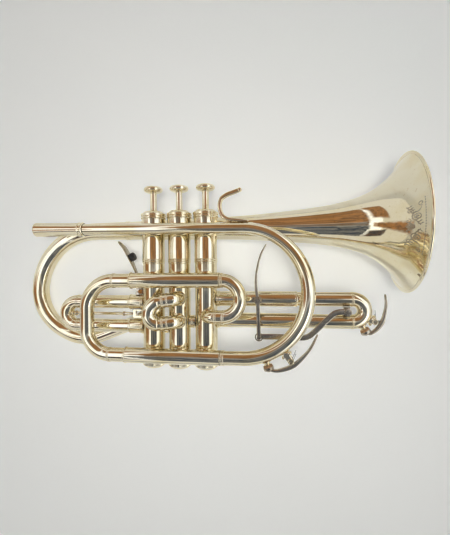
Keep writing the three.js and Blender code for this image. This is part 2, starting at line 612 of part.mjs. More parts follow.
function makeWaterKey(number, centre, bend, z, pivotAt, leverPoints, drainAngle) {
  const surface = bend + BOW_R;
  const pivotAngle = THREE.MathUtils.radToDeg(Math.atan2(pivotAt.y - centre.y, pivotAt.x - centre.x));
  const pivotDistance = Math.hypot(pivotAt.x - centre.x, pivotAt.y - centre.y);
  const earLow = surface + GAP;
  const reach = pivotDistance + 1.9 - earLow;
  const saddleBlock = new THREE.BoxGeometry(reach, 3.8, 2 * (KEY_HALF_WIDTH + 2.1));
  const windowBlock = new THREE.BoxGeometry(reach, 8, 2 * (KEY_HALF_WIDTH + GAP));
  const turn = THREE.MathUtils.degToRad(pivotAngle);
  const middle = around(centre, earLow + reach / 2, pivotAngle, z);
  const windowMiddle = around(centre, earLow + reach / 2 + 0.8, pivotAngle, z);
  saddleBlock.rotateZ(turn).translate(middle.x, middle.y, middle.z);
  windowBlock.rotateZ(turn).translate(windowMiddle.x, windowMiddle.y, windowMiddle.z);
  const pivot = (dz) => vec(pivotAt.x, pivotAt.y, z + dz);
  const pin = rod(pivot(-KEY_HALF_WIDTH - 2.5), pivot(KEY_HALF_WIDTH + 2.5), 1, 8);
  const saddle = joined(cut(saddleBlock, windowBlock), pin);
  part(`water_key_saddle_${number}`, saddle, silver);

  const corkAt = (distance) => around(centre, surface + distance, drainAngle, z);
  part(`water_key_cork_${number}`, rod(corkAt(2.3), corkAt(5), 3.9, 12), cork);

  const cup = rod(corkAt(5.3), corkAt(6.5), 4.3, 12);
  const start = corkAt(5.4 + KEY_THICKNESS / 2);
  const route = [[start.x, start.y], ...leverPoints];
  const arm = strip(route, KEY_THICKNESS, z - KEY_HALF_WIDTH, z + KEY_HALF_WIDTH, 12);
  const hub = rod(pivot(-KEY_HALF_WIDTH), pivot(KEY_HALF_WIDTH), 2, 10);
  const nearest = leverPoints.map(([x, y]) => vec(x, y, z)).reduce((best, point) => (
    point.distanceTo(pivot(0)) < best.distanceTo(pivot(0)) ? point : best));
  const web = rod(pivot(0), nearest, 1.7, 8);
  const bore = rod(pivot(-9), pivot(9), 1.35, 8);
  part(`water_key_lever_${number}`, cut(joined(arm, cup, hub, web), bore), oldSilver);
}

function makeWaterKeys() {
  makeWaterKey(1, bowCentre, MAIN_BOW_RADIUS, FRONT_Z, { x: 97.4, y: -110.6 }, [
    [85.5, -119.4], [92.4, -117.8], [99.6, -114.6], [106.2, -108.6], [111.8, -102], [115.6, -95.6],
    [118.4, -89.6],
  ], MAIN_DRAIN_ANGLE);
  makeWaterKey(2, thirdBend, THIRD_BEND_R, SIDE_Z, { x: 165.9, y: -80.9 }, [
    [163.4, -90.8], [168.6, -86.8], [172.2, -81.6], [174.2, -75.2], [175.5, -67], [174.9, -58.9],
  ], THIRD_DRAIN_ANGLE);
}

// ---- Bell ---------------------------------------------------------------------------------------
const BELL_TAIL_X = -60;
const BELL_OUTLINE = [                // [x, outer radius]
  [BELL_TAIL_X, 8.8], [45, 10.9], [80, 12.9], [111, 15.6], [132, 18.1], [145.5, 20.8], [158, 24.4],
  [168.3, 29.2], [177.6, 35.8], [187, 45], [196.8, 58.5],
];

function makeBell() {
  const outside = [
    ...BELL_OUTLINE, [BELL_MOUTH_X - 1.9, BELL_MOUTH_R - 0.6], [BELL_MOUTH_X - 1, BELL_MOUTH_R],
    [BELL_MOUTH_X, BELL_MOUTH_R - 0.6],
  ];
  const inside = BELL_OUTLINE.map(([x, r]) => [x + (r > 20 ? 0.7 : 0), r - (r > 20 ? 0.5 : 0.7)]);
  const profile = [...outside, ...inside.slice(0, -1).reverse(), outside[0]];
  part('bell', turnedAlongX(profile, BELL_Y, BELL_Z, 24), silver);
}

function makeBellBow() {
  const upperRadius = 58;
  const lowerRadius = 48;
  const middleY = BELL_Y - upperRadius;
  const leftX = -93 - upperRadius;
  const upper = arc(leftX + upperRadius, middleY, BELL_Z, upperRadius, 90, 180);
  const lower = arc(leftX + lowerRadius, middleY, REST_Z, lowerRadius, 180, 290.5);
  upper.forEach((point, i) => {
    point.z = BELL_Z + (REST_Z - BELL_Z) * (i / (upper.length - 1));
  });
  lower.forEach((point, i) => {       // lies flat on the table, then rises towards the valve
    const settle = (point.x - leftX) * Math.tan(TILT);
    point.z -= i < 4 ? settle : settle * (4 / (i + 1)) ** 2;
  });
  const tail = lower.at(-1);
  const portX = VALVE_X[0] - 1;
  const slope = Math.tan(THREE.MathUtils.degToRad(20.5));
  const portY = tail.y + (portX - tail.x) * slope;
  const end = roundedPath([
    [tail.x, tail.y, tail.z], [portX, portY, tail.z, 8], [portX, portY, -4],
  ]);
  const path = [vec(BELL_TAIL_X - GAP, BELL_Y, BELL_Z), ...upper, ...lower.slice(1), ...end.slice(1)];
  const taper = (t) => 8.8 - 1.1 * Math.min(t / 0.5, 1) - 1.7 * Math.max((t - 0.5) / 0.5, 0);
  part('bell_bow', saddled(tube(path, taper, 0.7), VALVE_X[0]), silver);
}

// ---- Stays and pinky hook -----------------------------------------------------------------------
// A stay is a short rod with a flange at each end, between the leadpipe and the bell tube.
function makeStay(name, x, bellRadius) {
  const y = (LEADPIPE_START[1] + (x - LEADPIPE_START[0]) * Math.tan(pipeAngle) + BELL_Y) / 2;
  const top = LEADPIPE_Z - LEADPIPE_R - GAP;
  const bottom = BELL_Z + bellRadius + GAP;
  const flange = (z, way) => rod(vec(x, y, z), vec(x, y, z + way * 1.2), 3.6, 10);
  part(name, joined(rod(vec(x, y, bottom), vec(x, y, top), 1.8, 8), flange(top, -1),
    flange(bottom, 1)), silver);
}

function makeHook() {
  const route = [
    [63.5, -0.2 + LEADPIPE_R], [52, 4.5], [45.2, 5.4], [41.6, 9.6], [39.9, 16], [41.2, 22],
    [45.4, 25.4], [51, 27.4], [56.2, 29.2],
  ];
  const hook = strip(route, 1.8, LEADPIPE_Z - 3, LEADPIPE_Z + 3, 16);
  const tip = rod(vec(56.8, 29.5, LEADPIPE_Z - 3.2), vec(56.8, 29.5, LEADPIPE_Z + 3.2), 1.7, 10);
  const pipeSpot = rod(alongPipe(176.5), alongPipe(206.5), LEADPIPE_R + GAP + 0.1, 16);
  part('pinky_hook', cut(joined(hook, tip), pipeSpot), oldSilver);
}

// ---- Assembly -----------------------------------------------------------------------------------
makeLeadpipe();
makeMainBow();
makeTuningSlide();
makeCrook();
makeValves();
makeFirstSlide();
makeFirstTrigger();
makeSecondSlide();
makeThirdSlide();
makeThirdTrigger();
makeWaterKeys();
makeBell();
makeBellBow();
makeStay('bell_stay_front', 47, 11.1);
makeStay('bell_stay_rear', -45, 9.1);
makeHook();

instrument.rotation.y = -TILT;
const group = new THREE.Group();
group.add(instrument);
group.updateMatrixWorld(true);
const bounds = new THREE.Box3().setFromObject(group, true);
instrument.position.set(
  -(bounds.min.x + bounds.max.x) / 2, -(bounds.min.y + bounds.max.y) / 2, -bounds.min.z);

export default group;
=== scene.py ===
"""Looks of a silver-plated B flat cornet with three piston valves, lying on a pale table.

Every piece is drawn in the instrument's own frame, in millimetres: X runs towards the bell, Y along
the valves towards the finger buttons, Z to the player's right. TO_ROW takes that frame to the row
frame, in metres.
"""

import math
import random

import bmesh
import bpy
from mathutils import Matrix, Vector


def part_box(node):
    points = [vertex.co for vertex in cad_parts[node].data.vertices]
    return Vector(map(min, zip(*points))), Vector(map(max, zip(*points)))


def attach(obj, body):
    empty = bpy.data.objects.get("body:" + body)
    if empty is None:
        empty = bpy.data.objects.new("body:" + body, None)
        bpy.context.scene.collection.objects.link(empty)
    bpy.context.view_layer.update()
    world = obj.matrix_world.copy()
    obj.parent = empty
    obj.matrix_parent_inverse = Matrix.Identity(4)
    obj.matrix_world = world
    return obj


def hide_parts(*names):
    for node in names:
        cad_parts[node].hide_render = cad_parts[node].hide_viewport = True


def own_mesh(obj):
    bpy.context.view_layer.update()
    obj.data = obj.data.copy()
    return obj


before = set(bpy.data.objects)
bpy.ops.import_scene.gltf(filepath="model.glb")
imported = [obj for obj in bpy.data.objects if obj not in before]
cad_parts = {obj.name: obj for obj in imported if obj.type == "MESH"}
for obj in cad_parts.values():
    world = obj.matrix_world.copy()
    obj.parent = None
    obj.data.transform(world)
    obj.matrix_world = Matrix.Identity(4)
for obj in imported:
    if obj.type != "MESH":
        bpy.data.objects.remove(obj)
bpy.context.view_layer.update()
rng = random.Random(11)
scene = bpy.context.scene

# ---- Frame ----
TILT = math.radians(9.3)
CASING_TOP = 3
low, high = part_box("valve_casing_2")
ORIGIN = Vector(((low.x + high.x) / 2, high.y - CASING_TOP / 1000, (low.z + high.z) / 2))
TO_ROW = Matrix.Translation(ORIGIN) @ Matrix.Rotation(-TILT, 4, "Y") @ Matrix.Scale(0.001, 4)

# ---- Dimensions, mm ----
VALVE_X = (-24.3, 0, 24.3)
CASING_BOTTOM = -117
FRONT_Z, SIDE_Z, BELL_Z, REST_Z = 17.5, -2, -21.5, -16.6
LOWER_Y, UPPER_Y = -110.5, -45.7
SLEEVE_R, SLEEVE_BORE_R, SLIDE_R, BOW_R, WALL = 6.6, 6.15, 6.08, 5.95, 0.6
LEADPIPE_R, LEADPIPE_Z = 5, 15.5
LEADPIPE_START, LEADPIPE_END = (-131.1, 0.94), (58.9, -2.45)
MAIN_BOW_RADIUS = 53.9
BELL_Y = 2
CASING_R, CASING_UPPER_R, CASING_BORE_R = 9.8, 10.1, 8.8
PORT_R, PORT_COLLAR_R = 9.4, 11  # from a valve's axis to where a tube ends, and to the collar there


# ---- Shapes ----
def V(*p):
    return Vector(p)


EX, EY, EZ = V(1, 0, 0), V(0, 1, 0), V(0, 0, 1)


def skin(rings, loop=False):
    """Faces between rings of points. A ring of one point is a pole."""
    verts, faces, starts = [], [], []
    for ring in rings:
        starts.append(len(verts))
        verts.extend(ring)
    pairs = list(zip(range(len(rings) - 1), range(1, len(rings))))
    if loop:
        pairs.append((len(rings) - 1, 0))
    for i, j in pairs:
        a, b, n, m = starts[i], starts[j], len(rings[i]), len(rings[j])
        for k in range(max(n, m)):
            q = (k + 1) % max(n, m)
            if n == 1:
                faces.append((a, b + q, b + k))
            elif m == 1:
                faces.append((a + k, a + q, b))
            else:
                faces.append((a + k, a + q, b + q, b + k))
    return verts, faces


def heading(angle):
    turn = math.radians(angle)
    return V(math.cos(turn), math.sin(turn), 0)


def basis(axis):
    axis = axis.normalized()
    side = axis.cross(EZ if abs(axis.z) < 0.9 else EX).normalized()
    return axis, side, side.cross(axis)


def fillet(profile, size, closed):
    """Rounds the corners of a profile of (distance, radius) points, where there is one to round."""
    least_reach, straight, share = 0.02, 0.003, 0.42
    points = [Vector(p) for p in profile]
    result = []
    count = len(points)
    for i, p in enumerate(points):
        if not closed and i in (0, count - 1):
            result.append(p)
            continue
        back, ahead = points[i - 1] - p, points[(i + 1) % count] - p
        reach = min(size, share * back.length, share * ahead.length)
        if reach < least_reach or abs(back.normalized().dot(ahead.normalized()) + 1) < straight:
            result.append(p)
            continue
        a, b = p + back.normalized() * reach, p + ahead.normalized() * reach
        for t in (0, 0.33, 0.67, 1):
            result.append(a * (1 - t) ** 2 + p * 2 * t * (1 - t) + b * t * t)
    return result


def lathe(profile, origin, axis, sides=56, closed=False, corner=0.25, knurl=None):
    """Turns (distance, radius) points about an axis. knurl = (from, to, teeth, depth)."""
    axis, side, up = basis(axis)
    rings = []
    for a, r in fillet(profile, corner, closed):
        centre = origin + axis * a
        if r < 1e-6:
            rings.append([centre])
            continue
        ring = []
        for k in range(sides):
            angle = 2 * math.pi * k / sides
            cut = 0
            if knurl and knurl[0] <= a <= knurl[1]:
                cut = knurl[3] * (0.5 - 0.5 * math.cos(angle * knurl[2]))
            ring.append(centre + (side * math.cos(angle) + up * math.sin(angle)) * (r - cut))
        rings.append(ring)
    return skin(rings, loop=closed)


def tangents(path):
    last = len(path) - 1
    return [(path[min(i + 1, last)] - path[max(i - 1, 0)]).normalized() for i in range(last + 1)]


def tube(path, radius, wall=WALL, sides=40):
    """A hollow tube. The radius is a number or a function of the fraction of the length."""
    lengths = [0]
    for a, b in zip(path, path[1:]):
        lengths.append(lengths[-1] + (b - a).length)
    normal = None
    outer, inner = [], []
    for point, tangent, length in zip(path, tangents(path), lengths):
        if normal is None:
            normal = EX if abs(tangent.z) > 0.9 else EZ
        normal = (normal - tangent * normal.dot(tangent)).normalized()
        side = tangent.cross(normal)
        r = radius(length / lengths[-1]) if callable(radius) else radius
        turns = [2 * math.pi * k / sides for k in range(sides)]
        around = [normal * math.cos(t) + side * math.sin(t) for t in turns]
        outer.append([point + d * r for d in around])
        inner.append([point + d * (r - wall) for d in around])
    return skin(outer + inner[::-1], loop=True)


def wire(path, radius, sides=10):
    """A solid wire with rounded ends."""
    rings = []
    normal = None
    ways = tangents(path)
    ends = [(0.9, 0), (0.6, 0.7)]  # how far an end stands out, in radii, and the scale of its ring
    stations = [(path[0] - ways[0] * radius * out, ways[0], scale) for out, scale in ends]
    stations += [(p, t, 1) for p, t in zip(path, ways)]
    stations += [(path[-1] + ways[-1] * radius * out, ways[-1], scale) for out, scale in reversed(ends)]
    for point, tangent, scale in stations:
        if scale == 0:
            rings.append([point])
            continue
        if normal is None:
            normal = basis(tangent)[1]
        normal = (normal - tangent * normal.dot(tangent)).normalized()
        side = tangent.cross(normal)
        rings.append([
            point + (normal * math.cos(a) + side * math.sin(a)) * radius * scale
            for a in (2 * math.pi * k / sides for k in range(sides))])
    return skin(rings)


def rounded_path(corners, step=4):
    """Straight runs with rounded corners: each corner is (x, y, z, bend radius)."""
    points = [V(*c[:3]) for c in corners]
    path = [points[0]]
    for i in range(1, len(points) - 1):
        back, ahead = (points[i - 1] - points[i]).normalized(), (points[i + 1] - points[i]).normalized()
        half, radius = back.angle(ahead) / 2, corners[i][3]
        centre = points[i] + (back + ahead).normalized() * (radius / math.sin(half))
        start = points[i] + back * (radius / math.tan(half)) - centre
        turn, axis = math.pi - 2 * half, ahead.cross(back).normalized()
        steps = max(4, math.ceil(math.degrees(turn) / step))
        for k in range(steps + 1):
            path.append(Matrix.Rotation(turn * k / steps, 3, axis) @ start + centre)
    path.append(points[-1])
    return path


def arc(x, y, z, radius, start, end, step=2):
    """Points on an arc in a plane of constant Z, from one angle to another, in degrees."""
    steps = math.ceil(abs(end - start) / step)
    angles = [math.radians(start + (end - start) * k / steps) for k in range(steps + 1)]
    return [V(x + radius * math.cos(a), y + radius * math.sin(a), z) for a in angles]


def spline(points, count):
    """Points on a smooth curve through tuples of any length."""
    last = len(points) - 1
    result = []
    for k in range(count + 1):
        u = last * k / count
        i = min(int(u), last - 1)
        t = u - i
        p0, p1, p2, p3 = (points[max(i - 1, 0)], points[i], points[i + 1], points[min(i + 2, last)])
        result.append([
            b + 0.5 * t * (c - a + t * (2 * a - 5 * b + 4 * c - d + t * (3 * (b - c) + d - a)))
            for a, b, c, d in zip(p0, p1, p2, p3)])
    return result


def blade(stations, count=40, power=0.55, sides=20):
    """A flat strip. Each station is (x, y, z, half thickness in the XY plane, half width in Z)."""
    samples = spline(stations, count)
    centres = [V(*s[:3]) for s in samples]
    ways = tangents(centres)
    rows = [(c, w, s[3], s[4], 1) for c, w, s in zip(centres, ways, samples)]
    first, last = rows[0], rows[-1]
    bulge = [(0.35, 0.94), (0.7, 0.72), (0.93, 0.38)]
    heads = [(first[0] - first[1] * first[2] * d, *first[1:4], s) for d, s in reversed(bulge)]
    tails = [(last[0] + last[1] * last[2] * d, *last[1:4], s) for d, s in bulge]
    rings = [[first[0] - first[1] * first[2]]]
    for centre, way, thick, wide, scale in heads + rows + tails:
        across = V(-way.y, way.x, 0).normalized()
        ring = []
        for k in range(sides):
            angle = 2 * math.pi * (k + 0.5) / sides
            c, s = math.cos(angle), math.sin(angle)
            a = math.copysign(abs(c) ** power, c) * thick * scale
            b = math.copysign(abs(s) ** power, s) * wide * (0.4 + 0.6 * scale)
            ring.append(centre + across * a + V(0, 0, b))
        rings.append(ring)
    rings.append([last[0] + last[1] * last[2]])
    return skin(rings)


def plate(outline, origin, ex, ey, low, high, bevel=0.25):
    """A flat plate with bevelled edges: outline points in the plane of ex and ey."""
    ez = ex.cross(ey)
    middle = sum((Vector(p) for p in outline), Vector((0, 0))) / len(outline)

    def ring(height, inset):
        result = []
        for p in outline:
            spot = Vector(p)
            spot -= (spot - middle).normalized() * inset
            result.append(origin + ex * spot.x + ey * spot.y + ez * height)
        return result

    centre = origin + ex * middle.x + ey * middle.y
    return skin([
        [centre + ez * low], ring(low, bevel), ring(low + bevel, 0), ring(high - bevel, 0),
        ring(high, bevel), [centre + ez * high]])


def disc(x, y, z0, z1, radius, corner=0.3, knurl=None, sides=40):
    profile = [(0, 0), (0, radius), (z1 - z0, radius), (z1 - z0, 0)]
    return lathe(profile, V(x, y, z0), EZ, sides, corner=corner, knurl=knurl)


def washer(x, y, z0, z1, outer, inner, corner=0.25):
    profile = [(0, inner), (0, outer), (z1 - z0, outer), (z1 - z0, inner)]
    return lathe(profile, V(x, y, z0), EZ, 40, closed=True, corner=corner)


def screw(x, y, z0, z1, radius, turn=30, way=1):
    """A round screw head whose slot is a real groove: two half rounds on a thin disc."""
    floor = z0 + 0.45 * (z1 - z0)
    shapes = [disc(x, y, *sorted((z0, floor)), radius)]
    slot_angle, steps = 14, 18
    angles = [math.radians(slot_angle + (180 - 2 * slot_angle) * k / steps) for k in range(steps + 1)]
    half = [(radius * math.cos(a), radius * math.sin(a)) for a in angles]
    levels = sorted((floor * way, z1 * way))
    for side in (0, 180):
        ex = heading(turn + side)
        shapes.append(plate(half, V(x, y, 0), ex, (EZ * way).cross(ex), *levels, 0.18))
    return shapes


def collar(centre, way, radius, width, lift=0.45, beads=2):
    """A soldered ferrule: a thin band with a small bead at each edge, or one in the middle."""
    half, sunk, band = width / 2, radius - 0.35, radius + lift * 0.5
    profile = [(-half, sunk), (-half, band)]
    for spot in ([-half + 0.55, half - 0.55] if beads == 2 else [0]):
        profile += [(spot - 0.5, band), (spot - 0.3, radius + lift), (spot + 0.3, radius + lift),
                    (spot + 0.5, band)]
    profile += [(half, band), (half, sunk)]
    return lathe(profile, centre, way, 48, closed=True, corner=0.2)


def sleeve(fixed_x, mouth_x, y, z, ring=0.55):
    """The outer tube of a slide, with a raised ring at its mouth."""
    length = abs(mouth_x - fixed_x)
    profile = [
        (0, SLEEVE_BORE_R), (0, SLEEVE_R), (length - 1.9, SLEEVE_R), (length - 1.6, SLEEVE_R + ring),
        (length - 0.6, SLEEVE_R + ring), (length - 0.3, SLEEVE_R - 0.1), (length, SLEEVE_R - 0.25),
        (length, SLEEVE_BORE_R)]
    way = EX if mouth_x > fixed_x else -EX
    return lathe(profile, V(fixed_x, y, z), way, 56, closed=True, corner=0.22)


def coil(centre, axis, radius, length, turns, start=0):
    """The middle line of a coil spring."""
    axis, side, up = basis(axis)
    steps = int(turns * 20)
    path = []
    for k in range(steps + 1):
        a = math.radians(start) + 2 * math.pi * turns * k / steps
        path.append(centre + axis * (length * (k / steps - 0.5))
                    + (side * math.cos(a) + up * math.sin(a)) * radius)
    return path


# ---- Materials ----
def set_inputs(node, values):
    for socket, value in values.items():
        node.inputs[socket].default_value = value


class Finish:
    """A procedural material, drawn with the object's own coordinates in metres."""

    def __init__(self, name):
        self.material = bpy.data.materials.new(name)
        self.material.use_nodes = True
        self.tree = self.material.node_tree
        self.shader = self.tree.nodes["Principled BSDF"]
        self.coords = self.tree.nodes.new("ShaderNodeTexCoord").outputs["Object"]

    def link(self, a, b):
        self.tree.links.new(a, b)

    def feed(self, value, socket):
        self.link(value, self.shader.inputs[socket])

    def noise(self, scale, detail=3, roughness=0.55, stretch=None, distortion=0):
        node = self.tree.nodes.new("ShaderNodeTexNoise")
        set_inputs(node, {
            "Scale": scale, "Detail": detail, "Roughness": roughness, "Distortion": distortion})
        source = self.coords
        if stretch:
            mapping = self.tree.nodes.new("ShaderNodeMapping")
            set_inputs(mapping, {"Scale": stretch, "Rotation": (0, TILT, 0)})
            self.link(self.coords, mapping.inputs["Vector"])
            source = mapping.outputs["Vector"]
        self.link(source, node.inputs["Vector"])
        return node.outputs["Fac"]

    def remap(self, value, low, high, to_low=0.0, to_high=1.0):
        node = self.tree.nodes.new("ShaderNodeMapRange")
        set_inputs(node, {"From Min": low, "From Max": high, "To Min": to_low, "To Max": to_high})
        self.link(value, node.inputs["Value"])
        return node.outputs["Result"]

    def math(self, operation, a, b):
        node = self.tree.nodes.new("ShaderNodeMath")
        node.operation = operation
        for socket, value in zip(node.inputs, (a, b)):
            if isinstance(value, (int, float)):
                socket.default_value = value
            else:
                self.link(value, socket)
        return node.outputs[0]

    def mix(self, factor, a, b):
        node = self.tree.nodes.new("ShaderNodeMix")
        node.data_type = "RGBA"
        self.link(factor, node.inputs["Factor"])
        for name, value in (("A", a), ("B", b)):
            socket = [s for s in node.inputs if s.name == name and s.type == "RGBA"][0]
            if isinstance(value, tuple):
                socket.default_value = (*value, 1)
            else:
                self.link(value, socket)
        return [s for s in node.outputs if s.type == "RGBA"][0]

    def bumps(self, *layers):
        """Each layer is (height value, distance in metres, strength)."""
        normal = None
        for value, distance, strength in layers:
            node = self.tree.nodes.new("ShaderNodeBump")
            set_inputs(node, {"Distance": distance, "Strength": strength})
            self.link(value, node.inputs["Height"])
            if normal is not None:
                self.link(normal, node.inputs["Normal"])
            normal = node.outputs["Normal"]
        self.feed(normal, "Normal")


def plated(name, clean, tarnish, spots, rough, wobble=1.0, patch=30):
    """Silver plate: cloudy tarnish, handling marks in the gloss, fine scratches and soft dents."""
    f = Finish(name)
    cloud = f.remap(f.noise(patch, 4, 0.6), 0.42, 0.7)
    speck = f.remap(f.noise(420, 2, 0.5), 0.66, 0.78, 0, 0.55)
    colour = f.mix(cloud, clean, tarnish)
    f.feed(f.mix(speck, colour, spots), "Base Color")
    smear = f.remap(f.noise(75, 5, 0.62, stretch=(1, 1.6, 1)), 0.35, 0.75, rough[0], rough[1])
    hair = f.noise(900, 2, 0.5, stretch=(0.05, 1, 1))
    f.feed(f.math("ADD", smear, f.remap(hair, 0.6, 0.8, 0, 0.05)), "Roughness")
    f.shader.inputs["Metallic"].default_value = 1
    f.bumps((f.noise(55, 2), 0.0009 * wobble, 0.1), (hair, 0.00003, 0.12))
    return f.material


SILVER = plated("silver_plate", (0.885, 0.82, 0.64), (0.82, 0.715, 0.46), (0.64, 0.48, 0.22),
                (0.03, 0.11))
WORN = plated("worn_silver", (0.56, 0.51, 0.42), (0.36, 0.295, 0.20), (0.20, 0.15, 0.09),
              (0.14, 0.3), 1.5, 90)
NICKEL = plated("piston_nickel", (0.72, 0.71, 0.68), (0.62, 0.60, 0.55), (0.45, 0.42, 0.36),
                (0.14, 0.26), 1, 60)
STEEL = plated("spring_steel", (0.50, 0.50, 0.51), (0.36, 0.34, 0.33), (0.25, 0.18, 0.12),
               (0.2, 0.36), 1, 200)
ENGRAVED = plated("engraved_silver", (0.46, 0.41, 0.32), (0.33, 0.28, 0.2), (0.2, 0.16, 0.1),
                  (0.22, 0.4), 1, 160)


def make_cork():
    f = Finish("cork")
    grain = f.noise(900, 4, 0.7)
    pits = f.remap(f.noise(1500, 2, 0.5), 0.62, 0.7)
    colour = f.mix(f.remap(grain, 0.35, 0.65), (0.52, 0.30, 0.13), (0.30, 0.15, 0.06))
    f.feed(f.mix(pits, colour, (0.12, 0.055, 0.02)), "Base Color")
    f.shader.inputs["Roughness"].default_value = 0.9
    f.bumps((grain, 0.0003, 0.5), (pits, 0.0002, 0.6))
    return f.material


def make_rubber():
    f = Finish("bumper_rubber")
    dust = f.remap(f.noise(160, 4, 0.6), 0.5, 0.75)
    f.feed(f.mix(dust, (0.012, 0.012, 0.013), (0.05, 0.047, 0.043)), "Base Color")
    f.feed(f.remap(dust, 0, 1, 0.5, 0.8), "Roughness")
    f.bumps((f.noise(1400, 3, 0.6), 0.00015, 0.5))
    return f.material


def make_amber():
    f = Finish("aged_bumper")
    cloud = f.noise(500, 3, 0.6)
    f.feed(f.mix(cloud, (0.42, 0.17, 0.03), (0.2, 0.07, 0.015)), "Base Color")
    f.feed(f.remap(cloud, 0.3, 0.7, 0.3, 0.5), "Roughness")
    return f.material


CORK, RUBBER, AMBER = make_cork(), make_rubber(), make_amber()


# ---- Pieces ----
def add(name, data):
    obj = bpy.data.objects.new(name, data)
    scene.collection.objects.link(obj)
    return obj


def piece(name, body, material, shapes, nodes=(), sharp=34):
    """One object from shapes in the instrument's frame. It rides on a body and stands for CAD nodes."""
    verts, faces = [], []
    for shape_verts, shape_faces in shapes:
        start = len(verts)
        verts.extend(TO_ROW @ v for v in shape_verts)
        faces.extend(tuple(start + i for i in face) for face in shape_faces)
    mesh = bpy.data.meshes.new(name)
    mesh.from_pydata(verts, [], faces)
    work = bmesh.new()
    work.from_mesh(mesh)
    bmesh.ops.recalc_face_normals(work, faces=work.faces)
    work.to_mesh(mesh)
    work.free()
    mesh.shade_smooth()
    mesh.set_sharp_from_angle(angle=math.radians(sharp))
    mesh.materials.append(material)
    obj = add(name, mesh)
    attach(obj, body)
    if nodes:
        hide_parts(*nodes)
    return obj


def silver(name, body, shapes, *nodes):
    return piece(name, body, SILVER, shapes, nodes)


def worn(name, body, shapes, *nodes):
    return piece(name, body, WORN, shapes, nodes)


def steel(name, body, shapes, *nodes):
    return piece(name, body, STEEL, shapes, nodes)


# Leadpipe, receiver and main bow
pipe_way = V(LEADPIPE_END[0] - LEADPIPE_START[0], LEADPIPE_END[1] - LEADPIPE_START[1], 0)
pipe_length = pipe_way.length
pipe_way.normalize()
pipe_start = V(*LEADPIPE_START, LEADPIPE_Z)
pipe_angle = math.degrees(math.atan2(pipe_way.y, pipe_way.x))
bow_centre = V(LEADPIPE_END[0] + MAIN_BOW_RADIUS * pipe_way.y,
               LEADPIPE_END[1] - MAIN_BOW_RADIUS * pipe_way.x, 0)
MAIN_BOW_END_X = 39.8
MAIN_DRAIN = -70.4  # angle of the water key's nipple on the bow
PIPE_IN = 35  # the leadpipe starts this far inside the receiver
BOW_RUN = 18  # straight length after the bow


def around(centre, distance, angle, z):
    spot = centre + heading(angle) * distance
    return V(spot.x, spot.y, z)


def nipple(centre, bend, angle, z):
    """A short drain tube with a soldered foot, on the outside of a bow."""
    way = heading(angle)
    foot = around(centre, bend + BOW_R - 0.9, angle, z)
    profile = [(0, 1.2), (0, 3.9), (0.8, 3.8), (1.3, 2.7), (1.9, 2.3), (2.3, 2.5), (2.75, 3.2), (2.8, 1.2)]
    return lathe(profile, foot, way, 32, closed=True, corner=0.2)


main_arc = arc(bow_centre.x, bow_centre.y, LEADPIPE_Z, MAIN_BOW_RADIUS, 90 + pipe_angle, -90)
for i, point in enumerate(main_arc):
    point.z += (FRONT_Z - LEADPIPE_Z) * i / (len(main_arc) - 1)
pipe_path = [pipe_start + pipe_way * (PIPE_IN + (pipe_length - PIPE_IN - 2) * k / 12) for k in range(13)]
low_run = [V(x, LOWER_Y + 0.2 * (x - MAIN_BOW_END_X) / BOW_RUN, FRONT_Z) for x in (52, 46, MAIN_BOW_END_X)]
pipe_share = (pipe_length - PIPE_IN) / (pipe_length - PIPE_IN + math.pi * MAIN_BOW_RADIUS + BOW_RUN)


def main_radius(t):
    """The leadpipe's radius grows to the bow's over the first half of the bow."""
    rise = min(max((t - pipe_share) / (0.5 * (1 - pipe_share)), 0), 1)
    return LEADPIPE_R + (BOW_R - LEADPIPE_R) * rise * rise * (3 - 2 * rise)


silver("leadpipe_and_main_bow", "body", [
    tube(pipe_path + main_arc + low_run, main_radius, sides=48),
    nipple(bow_centre, MAIN_BOW_RADIUS, MAIN_DRAIN, FRONT_Z),
    collar(V(41.3, LOWER_Y, FRONT_Z), EX, BOW_R, 3.2, 0.62),
], "leadpipe", "main_bow")

silver("receiver_tube", "body", [lathe([
    (0, 5.1), (0, 5.75), (0.25, 6.25), (0.9, 6.5), (2, 6.47), (42.4, 5.92), (42.6, 6.3), (43.6, 6.3),
    (43.8, 6.0), (45.6, 6.0), (45.8, 6.25), (46.8, 6.25), (47.4, 5.6), (48, 5.4), (34, 5.4), (34, 4.5),
], pipe_start, pipe_way, 64, closed=True)], "mouthpiece_receiver")

# Main tuning slide
FIXED_X, LOWER_MOUTH_X, UPPER_MOUTH_X, TUNING_BACK_X, TUNING_IN = 39.4, -44.8, -39.5, -80.2, 38
for which, mouth_x, y in (("lower", LOWER_MOUTH_X, LOWER_Y), ("upper", UPPER_MOUTH_X, UPPER_Y)):
    silver(f"tuning_sleeve_{which}_tube", "body", [sleeve(FIXED_X, mouth_x, y, FRONT_Z)],
           f"tuning_sleeve_{which}")
tuning_path = rounded_path([
    (UPPER_MOUTH_X + TUNING_IN, UPPER_Y, FRONT_Z), (TUNING_BACK_X, UPPER_Y, FRONT_Z, 24.5),
    (TUNING_BACK_X, LOWER_Y, FRONT_Z, 21.5), (LOWER_MOUTH_X + TUNING_IN, LOWER_Y, FRONT_Z)], 3)
silver("tuning_slide_bow", "main_tuning", [
    tube(tuning_path, SLIDE_R, WALL + 0.3, sides=48),
    *(collar(V(x, y, FRONT_Z), EX, SLIDE_R, 2.4, 0.36) for x, y in ((-54.6, UPPER_Y), (-58.9, LOWER_Y))),
], "tuning_slide")

